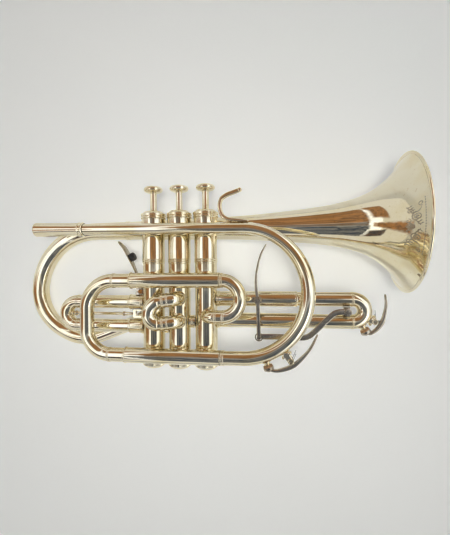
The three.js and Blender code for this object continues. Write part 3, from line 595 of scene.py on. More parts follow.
# Small crook into the third valve
CROOK_X, CROOK_Y, CROOK_R, CROOK_BEND_X = 27.8, -76.5, 5.7, 41.2
crook_path = [V(FIXED_X + 0.4, UPPER_Y, FRONT_Z)]
crook_path += arc(CROOK_BEND_X, (UPPER_Y + CROOK_Y) / 2, FRONT_Z, (UPPER_Y - CROOK_Y) / 2, 90, -90)
crook_path += rounded_path([
    (CROOK_BEND_X, CROOK_Y, FRONT_Z), (CROOK_X, CROOK_Y, FRONT_Z, 6.4), (CROOK_X, CROOK_Y, 9)], 6)[1:]
silver("valve_crook_tube", "body", [
    tube(crook_path, CROOK_R, sides=44),
    collar(V(40.9, UPPER_Y, FRONT_Z), EX, CROOK_R, 2.8, 0.7),
    *(collar(V(x, CROOK_Y, FRONT_Z), EX, CROOK_R, 2.4, 0.35) for x in (42.2, 35.6)),
    collar(V(CROOK_X, CROOK_Y, 10.1), EZ, CROOK_R, 2.2, 0.5),
], "valve_crook")

# Valves. The profiles are (height, radius) points about a valve's axis.
LEDGE_R, RIDGE_R = 10.15, 10.5
CASING = [
    (CASING_BOTTOM, CASING_BORE_R), (CASING_BOTTOM, CASING_UPPER_R), (-114.6, CASING_UPPER_R),
    (-114.2, CASING_R), (-31.3, CASING_R), (-31, CASING_UPPER_R), (-30, CASING_UPPER_R), (-29.6, RIDGE_R),
    (-29.2, RIDGE_R), (-28.8, LEDGE_R), (-28.2, LEDGE_R), (-27.8, RIDGE_R), (-27.4, RIDGE_R),
    (-27, CASING_UPPER_R), (CASING_TOP, CASING_UPPER_R), (CASING_TOP, CASING_BORE_R)]
TOP_CAP = [
    (3.3, CASING_BORE_R), (3.3, 10.6), (9.2, 10.6), (9.5, 11.1), (9.9, 11.3), (10.9, 11.3), (11.15, 10.6),
    (11.65, 10.6), (11.9, 11.3), (13.8, 11.35), (14.2, 10.8), (14.5, 9.5), (15.4, 9), (16.2, 7.9),
    (16.3, 4.9), (16.9, 4.6), (16.9, 3.5), (12.6, 3.5), (12.6, CASING_BORE_R)]
BOTTOM_CAP = [
    (-125.4, 1.6), (-125.4, 2.6), (-125.1, 5.2), (-124.3, 7.4), (-123.3, 8.9), (-122.4, 9.7),
    (-121.9, 10.4), (-119.4, 10.4), (-119, 10), (-118.6, 10), (-118.2, 10.4), (-117.3, 10.4),
    (-117.3, CASING_BORE_R), (-120.6, CASING_BORE_R), (-120.6, 1.6)]
STEM = [(8.3, 0), (8.3, 5.5), (10.4, 5.5), (10.8, 3), (32.6, 3), (33.1, 3.5), (33.6, 3.6), (33.6, 0)]
BUTTON = [
    (33.2, 0), (33.2, 3.4), (33.4, 5.4), (33.9, 7.1), (34.8, 8.3), (36, 8.65), (37.2, 8.4), (38.2, 7.5),
    (38.8, 6.2), (38.9, 4.6), (38.6, 2.4), (38.5, 0)]
for i, x in enumerate(VALVE_X):
    n, foot = i + 1, V(x, 0, 0)
    top_cap = lathe(TOP_CAP, foot, EY, 288, closed=True, corner=0.35, knurl=(12.1, 13.6, 96, 0.08))
    low_cap = lathe(BOTTOM_CAP, foot, EY, 256, closed=True, corner=0.3, knurl=(-121.8, -119.5, 64, 0.2))
    for node, form, body, shape in (
            ("valve_casing", "tube", "body", lathe(CASING, foot, EY, 96, closed=True)),
            ("top_cap", "turned", "body", top_cap), ("bottom_cap", "turned", "body", low_cap),
            ("valve_stem", "turned", f"valve_{n}", lathe(STEM, foot, EY, 48)),
            ("finger_button", "turned", f"valve_{n}", lathe(BUTTON, foot, EY, 72, corner=0.5))):
        silver(f"{node}_{n}_{form}", body, [shape], f"{node}_{n}")
LINK_R = 5.4
for i, y in enumerate((-88, -83)):
    x0, x1 = VALVE_X[i] + PORT_R, VALVE_X[i + 1] - PORT_R
    silver(f"casing_link_{i + 1}_turned", "body", [
        tube([V(x0, y, 0), V(x1, y, 0)], LINK_R),
        collar(V((x0 + x1) / 2, y, 0), EX, LINK_R, 2.6, 0.5),
    ], f"casing_link_tube_{i + 1}")

# First slide and its trigger
FIRST_UPPER_Y, FIRST_LOWER_Y, FIRST_MOUTH_X, FIRST_BEND_X = -66, -88.2, -48.4, -101.3
FIRST_MID, FIRST_BEND_R = (FIRST_UPPER_Y + FIRST_LOWER_Y) / 2, (FIRST_UPPER_Y - FIRST_LOWER_Y) / 2
for which, y in (("upper", FIRST_UPPER_Y), ("lower", FIRST_LOWER_Y)):
    silver(f"first_slide_sleeve_{which}_tube", "body", [
        sleeve(VALVE_X[0] - PORT_R, FIRST_MOUTH_X, y, SIDE_Z, 0.3),
        collar(V(VALVE_X[0] - PORT_COLLAR_R, y, SIDE_Z), EX, SLEEVE_R, 2.4, 0.5),
    ], f"first_slide_sleeve_{which}")
first_in = FIRST_MOUTH_X + 11
first_path = [V(first_in, FIRST_UPPER_Y, SIDE_Z)]
first_path += arc(FIRST_BEND_X, FIRST_MID, SIDE_Z, FIRST_BEND_R, 90, 270, 4)
first_path += [V(first_in, FIRST_LOWER_Y, SIDE_Z)]
rod_start = FIRST_BEND_X - FIRST_BEND_R + SLIDE_R - 0.4
silver("first_slide_bow", "first_slide_body", [
    tube(first_path, SLIDE_R, WALL + 0.3, sides=48),
    *(collar(V(FIRST_BEND_X + 1.6, y, SIDE_Z), EX, SLIDE_R, 2.4, 0.3)
      for y in (FIRST_UPPER_Y, FIRST_LOWER_Y)),
    lathe([(0, 0), (0, 3.1), (0.9, 3.2), (1.5, 2.3), (2.6, 1.7), (3.4, 2.3), (4.4, 2.6), (5.6, 1.7),
           (6.6, 1.3), (50.6, 1.3), (51.4, 2), (52.4, 2.2), (53.4, 1.6), (-rod_start - 45, 1.3),
           (-rod_start - 45, 0)], V(rod_start, FIRST_MID, SIDE_Z), EX, 28),
    plate([(-4.3, -3.1), (-3.5, -3.7), (3.4, -3.7), (4.3, -2.9), (4.3, -1.9), (-1.9, -1.9), (-1.9, 3.2),
           (-4.3, 3.2)], V(-40.9, FIRST_MID, SIDE_Z), EX, EY, -1.2, 1.2, 0.1),
    plate([(-4.3, 3.25), (1.6, 3.25), (4.3, 3.25), (4.3, 3.9), (3.6, 4.3), (-3.6, 4.3), (-4.3, 3.9)],
          V(-40.9, FIRST_MID - 0.5, SIDE_Z), EX, EY, -1.2, 1.2, 0.05),
], "first_slide")

P1 = V(-40.2, -54.5, 0)
ARM_1 = 22.5
foot_y = FIRST_UPPER_Y + 6.95
worn("first_trigger_post_turned", "body", [
    plate([(-3.4, -1.4), (3.4, -1.4), (3.4, 0.8), (2.1, 1.7), (2.1, 3.4), (-2.1, 3.4), (-2.1, 1.7),
           (-3.4, 0.8)], V(-40.1, foot_y + 1.1, -2.6), EZ, EY, -1.9, 1.9, 0.3),
    blade([(-40.1, foot_y + 3.4, -7, 1.7, 1.6), (-40.2, P1.y - 1, -7, 1.7, 1.6),
           (-40.2, P1.y + 1.4, -7, 1.7, 1.6)], 8),
    disc(P1.x, P1.y, -11.6, -1.7, 1.35),
    *screw(P1.x, P1.y, -3.2, -1.4, 2.3, 25),
], "first_trigger_post")
piece("first_slide_stop", "body", AMBER, [
    lathe([(0, 0), (0, 2), (3.4, 2), (3.4, 0)], V(-38.9, foot_y + 2.6, 0.6), EX, 28, corner=0.6)])
worn("first_trigger_lever_bent", "first_trigger", [
    blade([(-60.8, -10, -5.9, 0.5, 2.6), (-58.4, -12.6, -5.9, 0.65, 4.2), (-55.6, -15.6, -5.9, 0.75, 4.9),
           (-51, -23.6, -6, 0.85, 4.9), (-47.2, -33, -7.8, 0.95, 2.9), (-43.4, -44, -9.7, 1, 1.45),
           (-40.9, -51.6, -10.2, 1, 1.0)], 48),
    washer(P1.x, P1.y, -11.2, -9.2, 3.3, 1.55),
    blade([(P1.x, P1.y - 2.6, -10.2, 1.6, 1), (P1.x, P1.y - 12, -10.2, 1.45, 1),
           (P1.x, P1.y - ARM_1, -10.2, 1.6, 1)], 12),
    disc(P1.x, P1.y - ARM_1, -10.5, 0.6, 1.1),
], "first_trigger_lever")
pad_way = V(0.9, 0.44, 0).normalized()
pad_face = V(-48.9, -25.2, -5.6)
piece("first_trigger_pad", "first_trigger", RUBBER, [
    lathe([(0, 0), (0, 3.4), (0.5, 3.9), (3.4, 3.9), (4.3, 3.5), (4.6, 2.2), (4.6, 0)],
          pad_face, pad_way, 44, corner=0.5)],
    ("first_trigger_bumper",))

# Second slide
SECOND_UPPER_Y, SECOND_LOWER_Y, SECOND_X = -61.6, -81.3, 1.8
SECOND_WAY = V(-0.985, -0.12, 0.12).normalized()
KNUCKLE_R, SECOND_LEG_R, SECOND_BEND_R = 6.1, 5.1, 6.15


def second(y, distance):
    return V(SECOND_X, y, FRONT_Z) + SECOND_WAY * distance


def second_radius(t):
    """The legs are narrow enough for the knuckles, and the bend between them is wider."""
    rise = min(1, max(0, (0.5 - abs(t - 0.5) - 0.17) / 0.03))
    return SECOND_LEG_R + (SECOND_BEND_R - SECOND_LEG_R) * rise


for which, y in (("upper", SECOND_UPPER_Y), ("lower", SECOND_LOWER_Y)):
    mouth = second(y, 12.6)
    silver(f"second_slide_knuckle_{which}_tube", "body", [
        tube(rounded_path([(*mouth, 0), (SECOND_X, y, FRONT_Z, 6.6), (SECOND_X, y, 9.3)], 6), KNUCKLE_R),
        collar(second(y, 11.5), SECOND_WAY, KNUCKLE_R, 2.2, 0.4),
        collar(second(y, 7.4), SECOND_WAY, KNUCKLE_R, 1.6, 0.3, 1),
        collar(V(SECOND_X, y, 10.4), EZ, KNUCKLE_R, 1.8, 0.5, 1),
    ], f"second_slide_knuckle_{which}")
second_half = (SECOND_UPPER_Y - SECOND_LOWER_Y) / 2
second_mid = second(SECOND_UPPER_Y - second_half, 14)
second_path = [second(SECOND_UPPER_Y, 7.2)]
for k in range(37):
    turn = math.pi * k / 36
    second_path.append(second_mid + SECOND_WAY * second_half * math.sin(turn)
                       + V(0, second_half * math.cos(turn), 0))
second_path.append(second(SECOND_LOWER_Y, 7.2))
silver("second_slide_bow", "second_slide_body", [
    tube(second_path, second_radius, sides=44),
], "second_slide")

# Third slide, brace, trigger and link bar
THIRD_UPPER_Y, THIRD_LOWER_Y, THIRD_MOUTH_X, THIRD_BEND_X = -62.6, -81.4, 103.8, 149.2
THIRD_BEND_R = (THIRD_UPPER_Y - THIRD_LOWER_Y) / 2
third_centre = V(THIRD_BEND_X, (THIRD_UPPER_Y + THIRD_LOWER_Y) / 2, 0)
THIRD_DRAIN = -60
for which, y in (("upper", THIRD_UPPER_Y), ("lower", THIRD_LOWER_Y)):
    silver(f"third_slide_sleeve_{which}_tube", "body", [
        sleeve(VALVE_X[2] + PORT_R, THIRD_MOUTH_X, y, SIDE_Z, 0.15),
        collar(V(VALVE_X[2] + PORT_COLLAR_R, y, SIDE_Z), EX, SLEEVE_R, 2.4, 0.5),
    ], f"third_slide_sleeve_{which}")
third_path = [V(THIRD_MOUTH_X - 40, THIRD_UPPER_Y, SIDE_Z)]
third_path += arc(third_centre.x, third_centre.y, SIDE_Z, THIRD_BEND_R, 90, -90, 4)
third_path += [V(THIRD_MOUTH_X - 40, THIRD_LOWER_Y, SIDE_Z)]
silver("third_slide_bow", "third_slide_body", [
    tube(third_path, SLIDE_R, WALL + 0.3, sides=48),
    nipple(third_centre, THIRD_BEND_R, THIRD_DRAIN, SIDE_Z),
    *(collar(V(THIRD_BEND_X - 0.6, y, SIDE_Z), EX, SLIDE_R, 2.2, 0.28)
      for y in (THIRD_UPPER_Y, THIRD_LOWER_Y)),
], "third_slide")

BRACE = (144, -72.7)
LINK_LOW, LINK_HIGH = 4.3, 5.9
worn("third_slide_brace_plate", "third_slide_body", [
    plate([(-2.8, -3), (2.8, -3), (2.2, -1.2), (2.2, 1.6), (2.8, 3.7), (-2.8, 3.7), (-2.2, 1.6),
           (-2.2, -1.2)], V(*BRACE, 0), EX, EY, -4, 2, 0.4),
    disc(*BRACE, 0, LINK_LOW - 0.3, 2.9),
    disc(*BRACE, 0, LINK_HIGH + 1, 1.5),
    disc(*BRACE, LINK_HIGH + 0.3, LINK_HIGH + 1.4, 2.9, 0.3, (0.2, 1.0, 14, 0.5), 112),
    *screw(*BRACE, LINK_HIGH + 1.3, LINK_HIGH + 2.1, 2.2, 40),
], "third_slide_brace")

P3 = (70.5, -63.2)
LEVER_LOW, LEVER_HIGH = 6.6, 8.6
pin_3 = (71.2, -94.7)
worn("third_trigger_post_turned", "body", [
    plate([(-5, -2.4), (-3.6, -2.6), (1.8, -2.6), (3, -2), (3, 1.6), (1.8, 2.2), (-3.6, 2.2), (-5, 1.8)],
          V(P3[0], THIRD_UPPER_Y, 0), EX, EY, SIDE_Z + SLEEVE_R + 0.05, LEVER_LOW - 0.4, 0.3),
    disc(*P3, LEVER_LOW - 1, LEVER_HIGH + 1, 1.4),
    disc(*P3, LEVER_HIGH + 0.25, LEVER_HIGH + 0.8, 2.9),
    *screw(*P3, LEVER_HIGH + 0.8, LEVER_HIGH + 1.7, 2.4, 65),
], "third_trigger_post")
worn("third_trigger_lever_bent", "third_trigger", [
    blade([(77.6, -15.8, 2.9, 0.45, 2.4), (75.6, -19.4, 2.9, 0.6, 4.6), (73.6, -23.6, 2.9, 0.7, 5.6),
           (71.7, -29, 2.9, 0.8, 5.7), (70.4, -35, 3.8, 0.9, 4.8), (69.3, -42.4, 6.2, 1.0, 2.4),
           (69.3, -52, 7.6, 1.25, 1.0), (70.2, -60.6, 7.6, 1.5, 1.0)], 56),
    washer(*P3, LEVER_LOW, LEVER_HIGH, 3.3, 1.55),
    blade([(70.5, -65.8, 7.6, 1.8, 1), (70.9, -78, 7.6, 1.6, 0.95), (71.2, -92, 7.6, 1.75, 1),
           (71.2, -94.9, 7.6, 1.9, 1)], 20),
    disc(*pin_3, LINK_LOW - 1, LEVER_LOW + 0.6, 1.1),
    *screw(*pin_3, LEVER_HIGH - 0.5, LEVER_HIGH + 0.35, 1.7, 15),
], "third_trigger_lever")
middle_z, half_z = (LINK_LOW + LINK_HIGH) / 2, (LINK_HIGH - LINK_LOW) / 2
route = [
    (74.4, -94.3), (90, -94.2), (104, -94.6), (112, -93.4), (119, -87.8), (127, -79.6), (134, -73.6),
    (141.2, -72.3)]
worn("third_link_bar_bent", "third_link", [
    blade([(x, y, middle_z, 2.35, half_z) for x, y in route], 70, 0.45),
    washer(*pin_3, LINK_LOW, LINK_HIGH, 3.6, 2.65),
    washer(*BRACE, LINK_LOW, LINK_HIGH, 3.4, 1.9),
], "third_link_bar")


# Water keys
KEY_HALF = 2.3
EAR, BOSS, SCREW, PIN = KEY_HALF + 1, KEY_HALF + 1.4, KEY_HALF + 1.3, KEY_HALF + 1.6


def water_key(number, body, saddle_body, centre, bend, pivot, lever, drain):
    """A saddle with its pin and springs, and a lever with its cup and cork. drain is the nipple's angle."""
    surface = bend + BOW_R
    z = pivot.z
    pivot_angle = math.degrees(math.atan2(pivot.y - centre.y, pivot.x - centre.x))
    distance = math.hypot(pivot.x - centre.x, pivot.y - centre.y) - surface
    out = heading(pivot_angle)
    across = V(-out.y, out.x, 0)
    foot = around(centre, surface, pivot_angle, z)
    saddle = []
    for w in (-3.4, -1.7, 0, 1.7, 3.4):
        spot = foot + out * (1.5 + 0.25 * abs(w) / 3) + across * w
        saddle.append((spot.x, spot.y, z, 1.75 - 0.12 * abs(w), KEY_HALF + 1.7))
    shapes = [blade(saddle, 16, 0.9, 28)]
    for side in (-1, 1):
        ear = []
        for d, width in ((1.6, 3.0), (2.6, 2.5), (distance - 1.4, 2.45), (distance, 2.6)):
            spot = foot + out * d
            ear.append((spot.x, spot.y, z + side * EAR, width, 0.72))
        shapes.append(blade(ear, 14, 0.8, 28))
        levels = sorted((z + side * BOSS, z + side * (BOSS + 1)))
        shapes.append(washer(pivot.x, pivot.y, *levels, 2.5, 1.6, 0.45))
        shapes += screw(pivot.x, pivot.y, z + side * SCREW, z + side * (SCREW + 0.7), 1.5, 25 * side, side)
    shapes.append(disc(pivot.x, pivot.y, z - PIN, z + PIN, 0.95))
    silver(f"water_key_saddle_{number}_made", saddle_body, shapes, f"water_key_saddle_{number}")

    way = heading(drain)

    def above_bow(d):
        return around(centre, surface + d, drain, z)

    piece(f"water_key_cork_{number}_disc", body, CORK, [
        lathe([(0, 0), (0, 3.4), (0.5, 3.8), (2.8, 3.8), (2.8, 0)], above_bow(2.2), way, 40, corner=0.3)],
        (f"water_key_cork_{number}",))
    stations = [(*above_bow(6), 1.15, 1.9)]
    count = len(lever)
    for i, (x, y) in enumerate(lever):
        share = i / (count - 1)
        touch = max(0, share - 0.45) / 0.55
        thick = 1.3 + 0.6 * math.sin(math.pi * min(1, share * 1.5)) - 0.7 * touch
        stations.append((x, y, z, thick, 2.0 + 1.0 * touch if i < count - 1 else 1.7))
    cup = [(0, 3.8), (0, 4.3), (1.9, 4.3), (2.5, 3.8), (2.9, 2.6), (3.4, 2.4), (3.9, 1.4), (3.9, 0),
           (1.3, 0), (1.3, 3.8)]
    hub = [(-KEY_HALF, 1.3), (-KEY_HALF, 2.3), (-0.9, 2.3), (-0.6, 2.0), (0.6, 2.0), (0.9, 2.3),
           (KEY_HALF, 2.3), (KEY_HALF, 1.3)]
    web = min((V(x, y, z) - pivot for x, y in lever), key=lambda gap: gap.length)
    web_way = web.normalized()
    worn(f"water_key_lever_{number}_bent", body, [
        blade(stations, 44, 0.6),
        lathe(cup, above_bow(4.0), way, 44, corner=0.3),
        lathe(hub, pivot, EZ, 36, closed=True, corner=0.2),
        plate([(1.6, -1.4), (1.6, 1.4), (web.length, 1.1), (web.length, -1.1)],
              pivot, web_way, V(-web_way.y, web_way.x, 0), -1.3, 1.3, 0.2),
    ], f"water_key_lever_{number}")
    spring = []
    for side in (-1, 1):
        turns = coil(pivot + EZ * (side * 1.35), EZ * side, 2.35, 1.3, 2.5, 40)
        leg = turns[0] + heading(pivot_angle + 115) * 7 - out * 1.2
        spring.append(wire([leg, turns[0].lerp(leg, 0.5), *turns], 0.3, 8))
    steel(f"water_key_spring_{number}", saddle_body, spring)


water_key(1, "water_key_1", "body", bow_centre, MAIN_BOW_RADIUS, V(97.4, -110.6, FRONT_Z), [
    (85.5, -119.4), (92.4, -117.8), (99.6, -114.6), (106.2, -108.6), (111.8, -102), (115.6, -95.6),
    (118.4, -89.6)], MAIN_DRAIN)
water_key(2, "water_key_2", "third_slide_body", third_centre, THIRD_BEND_R, V(165.9, -80.9, SIDE_Z), [
    (163.4, -90.8), (168.6, -86.8), (172.2, -81.6), (174.2, -75.2), (175.5, -67), (174.9, -58.9)],
    THIRD_DRAIN)

# Bell
BELL_TAIL_X, BELL_TAIL_R = -60, 8.8
OUTLINE = [
    (BELL_TAIL_X, BELL_TAIL_R), (-10, 9.75), (45, 10.9), (80, 12.9), (111, 15.6), (132, 18.1),
    (145.5, 20.8), (158, 24.4), (168.3, 29.2), (177.6, 35.8), (187, 45), (196.8, 58.5)]
outside = spline(OUTLINE, 132)
RIM_X, RIM_R, BEAD = 196.9, 59.2, 1.3
bead = [(RIM_X + BEAD * math.cos(math.radians(a)), RIM_R + BEAD * math.sin(math.radians(a)))
        for a in range(170, -131, -20)]
inside = [(x + (0.55 if r > 20 else 0.1), r - (0.45 if r > 20 else 0.7)) for x, r in outside[:-2]]
silver("bell_flare_spun", "body", [
    lathe(outside[:-1] + bead + inside[::-1], V(0, BELL_Y, BELL_Z), EX, 128, closed=True, corner=0),
    collar(V(BELL_TAIL_X + 1.6, BELL_Y, BELL_Z), EX, 8.82, 3.4, 0.5),
], "bell")

# Engraving: a scroll with leaves, each line a narrow raised ridge that follows the bell
ENGRAVING_TURN, ENGRAVING_SPREAD = math.radians(80.5), 0.72 / 48  # middle, and radians per mm round it
arc_x, arc_s = [outside[-1]], [0.0]
for point in reversed(outside[:-1]):
    arc_s.append(arc_s[-1] + math.dist(point, arc_x[-1]))
    arc_x.append(point)


def on_bell(s, w):
    """A point and normal on the bell, s mm in from the rim and w mm round it."""
    i = max(k for k in range(len(arc_s)) if arc_s[k] <= s)
    j = min(i + 1, len(arc_s) - 1)
    t = (s - arc_s[i]) / max(arc_s[j] - arc_s[i], 1e-6)
    x = arc_x[i][0] + t * (arc_x[j][0] - arc_x[i][0])
    r = arc_x[i][1] + t * (arc_x[j][1] - arc_x[i][1])
    slope = Vector((arc_x[j][0] - arc_x[i][0], arc_x[j][1] - arc_x[i][1])).normalized()
    angle = ENGRAVING_TURN + w * ENGRAVING_SPREAD
    radial = V(0, -math.cos(angle), math.sin(angle))
    normal = V(slope.y, 0, 0) + radial * -slope.x
    return V(x, BELL_Y, BELL_Z) + radial * r, normal.normalized()


def stroke(points, width):
    """A tapered ridge through points (s, w) on the bell."""
    samples = [on_bell(s, w) for s, w in spline(points, 8 * (len(points) - 1))]
    spots = [p for p, _ in samples]
    rings = [[spots[0]]]
    for i, ((spot, normal), way) in enumerate(zip(samples, tangents(spots))):
        if i in (0, len(samples) - 1):
            continue
        t = i / (len(samples) - 1)
        half = 0.62 * width * math.sin(math.pi * min(1, 0.15 + 0.85 * t)) ** 0.7 + 0.05
        side = normal.cross(way).normalized()
        rings.append([spot - side * half, spot + normal * 0.12, spot + side * half, spot - normal * 0.05])
    rings.append([spots[-1]])
    return skin(rings)


def spiral(s, w, start_r, turns, way, start):
    """Points (s, w) that wind in towards a centre."""
    points = []
    count = int(12 * turns)
    for k in range(count + 1):
        a = math.radians(start) + way * 2 * math.pi * turns * k / count
        r = start_r * (1 - 0.85 * k / count)
        points.append((s + r * math.cos(a), w + r * math.sin(a)))
    return points


strokes = []
for side in (-1, 1):
    stem = ((9, 1.5), (12.5, 6), (16, 9), (15, 14), (10.5, 16), (8, 20))
    strokes.append(stroke([(s, side * w) for s, w in stem], 0.7))
    for s, w, r, turns, way, start in (
            (11.5, 10.5, 3.2, 1.4, 1, 60), (17.5, 16.5, 2.8, 1.3, -1, 200), (8.5, 23, 2.4, 1.3, 1, 250),
            (19, 6, 2.6, 1.2, 1, 90)):
        strokes.append(stroke(spiral(s, side * w, r, turns, way * side, start * side), 0.55))
    for k in range(9):
        s, w = 9 + 1.1 * k, side * (3 + 2.3 * k)
        tip = (s + 2.6 + rng.uniform(-0.4, 0.4), w + side * rng.uniform(0.6, 2.4))
        bend = ((s + tip[0]) / 2 + 0.5, (w + tip[1]) / 2 - side * 0.7)
        strokes.append(stroke([(s, w), bend, tip], 0.75))
        strokes.append(stroke([(s, w), (s - 0.9, w + side * 0.9), (s - 2.2, w + side * 1.1)], 0.55))
for k in range(7):
    w = (k - 3) * 1.5
    strokes.append(stroke([(13.5, w * 0.25), (17, w * 0.7), (21.5 - abs(k - 3) * 0.8, w)], 0.7))
for k in range(23):
    w = (k - 11) * 2.4
    strokes.append(stroke([(5.6, w), (5, w + 0.8), (5.6, w + 1.6)], 0.45))
piece("bell_engraving", "body", ENGRAVED, strokes, sharp=60)

# Bell bow, lying on the table
UP_R, LOW_R = 58, 48
mid_y, left_x = BELL_Y - UP_R, -93 - UP_R
upper = arc(left_x + UP_R, mid_y, BELL_Z, UP_R, 90, 180, 3)
lower = arc(left_x + LOW_R, mid_y, REST_Z, LOW_R, 180, 290.5, 3)
for i, point in enumerate(upper):
    point.z = BELL_Z + (REST_Z - BELL_Z) * i / (len(upper) - 1)
for i, point in enumerate(lower):
    settle = (point.x - left_x) * math.tan(TILT)
    share = 6 * i / (len(lower) - 1)
    point.z -= settle if share < 3 else settle * (4 / (share + 1)) ** 2
tail, port_x = lower[-1], VALVE_X[0] - 1
port_y = tail.y + (port_x - tail.x) * math.tan(math.radians(20.5))
end = rounded_path([(*tail, 0), (port_x, port_y, tail.z, 8), (port_x, port_y, -9.3)], 6)
run = [V(BELL_TAIL_X - 0.3 - (33 - 0.3) * k / 6, BELL_Y, BELL_Z) for k in range(6)]


def bell_bow_radius(t):
    """Narrows from the bell's tail to half way, and faster from there to valve 1."""
    return BELL_TAIL_R - 1.1 * min(t / 0.5, 1) - 1.7 * max((t - 0.5) / 0.5, 0)


silver("bell_bow_tube", "body", [
    tube(run + upper + lower[1:] + end[1:], bell_bow_radius, 0.7, 52),
    collar(V(port_x, port_y, -10.3), EZ, 6.1, 2, 0.5, 1),
], "bell_bow")

# Stays between leadpipe and bell, and the hook for the little finger
for name, x, bell_r in (("bell_stay_front", 47, 11.0), ("bell_stay_rear", -45, 9.1)):
    y = (LEADPIPE_START[1] + (x - LEADPIPE_START[0]) * pipe_way.y / pipe_way.x + BELL_Y) / 2
    bottom, top = BELL_Z + bell_r - 0.2, LEADPIPE_Z - LEADPIPE_R + 0.2
    span = top - bottom
    silver(f"{name}_turned", "body", [lathe([
        (0, 0), (0, 3.7), (0.7, 3.6), (1.1, 2.6), (2.2, 1.8), (span / 2 - 1.3, 1.5), (span / 2 - 0.9, 2.4),
        (span / 2 + 0.9, 2.4), (span / 2 + 1.3, 1.5), (span - 2.2, 1.8), (span - 1.1, 2.6),
        (span - 0.7, 3.6), (span, 3.7), (span, 0)], V(x, y, bottom), EZ, 36)], name)

hook = [
    (63.5, 3.4, 0.625, 2.4), (58, 3.9, 1.25, 3.0), (52, 4.6, 1.5, 3.0), (47.6, 5.1, 1.75, 2.9),
    (43.6, 7, 1.875, 2.8), (41.2, 10.4, 1.875, 2.7), (39.9, 16, 1.75, 2.6), (41.2, 22, 1.75, 2.4),
    (45.4, 25.4, 1.875, 2.2), (51, 27.4, 1.875, 1.9), (56.2, 29.2, 1.75, 1.7)]
silver("pinky_hook_bent", "body", [
    blade([(x, y, LEADPIPE_Z, thick, wide) for x, y, thick, wide in hook], 70, 0.6),
    lathe([(-2.2, 0), (-2.2, 1.1), (-1.5, 1.75), (1.5, 1.75), (2.2, 1.1), (2.2, 0)],
          V(56.9, 29.5, LEADPIPE_Z), EZ, 32, corner=0.6),
], "pinky_hook")

# The springs sit on their guides and ride with their valves, each with a mesh of its own
SPRING_LOW, SPRING_TOP, STROKE = -24.1, 5.1, 16
spring_length = SPRING_TOP - SPRING_LOW
for i, x in enumerate(VALVE_X):
    path = coil(V(x, (SPRING_LOW + SPRING_TOP) / 2, 0), EY, 4.6, spring_length - 1, 7)
    spring = steel(f"valve_spring_{i + 1}_coil", f"valve_{i + 1}", [wire(path, 0.42)],
                   f"valve_spring_{i + 1}")
    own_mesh(spring)

# Pieces inside the casings keep their shape and get a worked finish
for n in (1, 2, 3):
    for node in ("piston", "valve_guide"):
        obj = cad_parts[f"{node}_{n}"]
        obj.data.materials.clear()
        obj.data.materials.append(NICKEL)


# ---- Table, light and camera ----
def stage_plane(name, centre, size, turn=(0, 0, 0)):
    mesh = bpy.data.meshes.new(name)
    w, h = size[0] / 2, size[1] / 2
    mesh.from_pydata([(-w, -h, 0), (w, -h, 0), (w, h, 0), (-w, h, 0)], [], [(0, 1, 2, 3)])
    obj = add(name, mesh)
    obj.location = centre
    obj.rotation_euler = turn
    return obj


floor = stage_plane("table", (0, 0, 0), (8, 8))
f = Finish("table_paint")
stain = f.remap(f.noise(5, 5, 0.6), 0.35, 0.75)
f.feed(f.mix(stain, (0.80, 0.81, 0.79), (0.77, 0.775, 0.75)), "Base Color")
f.feed(f.remap(stain, 0, 1, 0.42, 0.6), "Roughness")
set_inputs(f.shader, {"Specular IOR Level": 0.25, "Emission Color": (0.80, 0.80, 0.775, 1),
                      "Emission Strength": 0.36})
f.bumps((f.noise(320, 3, 0.6), 0.0002, 0.06))
floor.data.materials.append(f.material)


def card(name, centre, size, inner, outer, turn=(0, 0, 0), soft=6.0, ragged=0.25, clear=True):
    """A panel, cloudy in colour, that shows as a reflection. The edges of a clear one fade out."""
    obj = stage_plane(name, centre, size, turn)
    f = Finish(name)
    f.tree.nodes.remove(f.shader)
    glow = f.tree.nodes.new("ShaderNodeEmission")
    cloud = f.remap(f.noise(9, 4, 0.65, distortion=1.2), 0.4, 0.62)
    f.link(f.mix(cloud, inner, outer), glow.inputs["Color"])
    result = glow.outputs[0]
    if clear:
        split = f.tree.nodes.new("ShaderNodeSeparateXYZ")
        f.link(f.coords, split.inputs[0])
        margin = None
        for axis, reach in (("X", size[0] / 2), ("Y", size[1] / 2)):
            spread = f.math("MULTIPLY", f.math("ABSOLUTE", split.outputs[axis], 0), 1 / reach)
            inside = f.math("MULTIPLY", f.math("SUBTRACT", 1.0, spread), soft * reach / min(size))
            margin = inside if margin is None else f.math("MINIMUM", margin, inside)
        wave = f.remap(f.noise(5 / min(size), 3, 0.6), 0.3, 0.7, -ragged * soft * 0.5, 0)
        shown = f.remap(f.math("ADD", margin, wave), 0, 1)
        blend = f.tree.nodes.new("ShaderNodeMixShader")
        f.link(shown, blend.inputs[0])
        f.link(f.tree.nodes.new("ShaderNodeBsdfTransparent").outputs[0], blend.inputs[1])
        f.link(result, blend.inputs[2])
        result = blend.outputs[0]
    f.link(result, f.tree.nodes["Material Output"].inputs["Surface"])
    obj.data.materials.append(f.material)
    obj.visible_camera = obj.visible_diffuse = obj.visible_shadow = False
    return obj


QUARTER = math.radians(90)
WOOD, WOOD_DARK = (0.42, 0.21, 0.09), (0.17, 0.10, 0.06)
NAVY, NAVY_PALE = (0.035, 0.05, 0.08), (0.24, 0.24, 0.25)
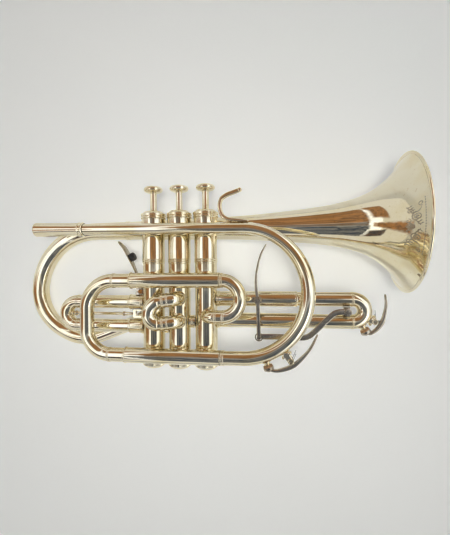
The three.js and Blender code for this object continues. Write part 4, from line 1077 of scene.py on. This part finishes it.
# The walls also show to the camera, behind the object in other views
card("ceiling", (0, 0, 2.2), (7, 7), (1.28, 1.32, 1.40), (1.40, 1.44, 1.53), clear=False)
for name, x, y, turn in (("wall_left", -3.5, 0, 0), ("wall_right", 3.5, 0, 0), ("wall_far", 0, 3.5, 1),
                         ("wall_near", 0, -3.5, 1)):
    card(name, (x, y, 1.1), (7, 2.2) if turn else (2.2, 7), (0.75, 0.73, 0.68), (0.72, 0.70, 0.645),
         (QUARTER, 0, 0) if turn else (0, QUARTER, 0), clear=False).visible_camera = True
card("overhead", (-0.05, 0.0, 0.46), (0.36, 0.13), WOOD_DARK, NAVY_PALE, soft=9, ragged=0.15)
card("far_room", (-0.01, 0.56, 0.54), (0.66, 1.10), WOOD, WOOD_DARK, soft=12, ragged=0.06)
card("far_room_left", (-0.66, 0.72, 0.52), (0.74, 1.12), WOOD, WOOD_DARK, soft=8, ragged=0.1)
card("near_figure", (-0.01, -0.41, 0.50), (0.62, 0.78), NAVY, NAVY_PALE, soft=12, ragged=0.06)
card("near_figure_left", (-0.58, -0.50, 0.50), (0.64, 0.56), NAVY, WOOD_DARK, soft=8, ragged=0.1)
card("near_horizon", (0, -0.95, 0.10), (1.6, 0.16), WOOD_DARK, NAVY, (QUARTER, 0, 0), 5)
card("left_cabinet", (-0.85, -0.10, 0.50), (1.05, 0.42), WOOD, WOOD_DARK, (0, QUARTER, 0), 5)


def area(name, place, target, size, energy, colour=(1, 1, 1)):
    light = bpy.data.lights.new(name, "AREA")
    light.shape = "RECTANGLE"
    light.size, light.size_y = size
    light.energy = energy
    light.color = colour
    obj = add(name, light)
    obj.location = place
    obj.rotation_euler = (Vector(target) - Vector(place)).to_track_quat("-Z", "Y").to_euler()
    return obj


area("key_light", (0.75, -0.55, 0.95), (0.05, 0, 0), (0.5, 0.4), 0.62, (1, 0.985, 0.96))
area("far_light", (0.55, 0.75, 1.05), (0.05, 0, 0), (0.6, 0.45), 0.3, (0.98, 0.99, 1))
area("left_light", (-0.85, -0.15, 0.8), (-0.05, 0, 0), (0.5, 0.4), 0.12, (1, 0.985, 0.96))
fill = area("fill_light", (0.01, -0.01, 0.6), (0.01, -0.01, 0), (0.12, 0.12), 1.75, (1, 0.99, 0.965))
fill.visible_glossy = fill.visible_camera = False

world = bpy.data.worlds.new("studio")
world.use_nodes = True
set_inputs(world.node_tree.nodes["Background"], {"Color": (1, 0.99, 0.965, 1), "Strength": 0.05})
scene.world = world
scene.view_settings.view_transform = "Standard"

camera_data = bpy.data.cameras.new("camera")
camera_data.sensor_width = 36
camera_data.lens = 23.55
camera_data.clip_start = 0.01
camera = add("camera", camera_data)
camera.location = ORIGIN + V(0.04089, -0.03506, 0.3154)
camera.rotation_euler = (0, 0, math.radians(-0.5))
scene.camera = camera
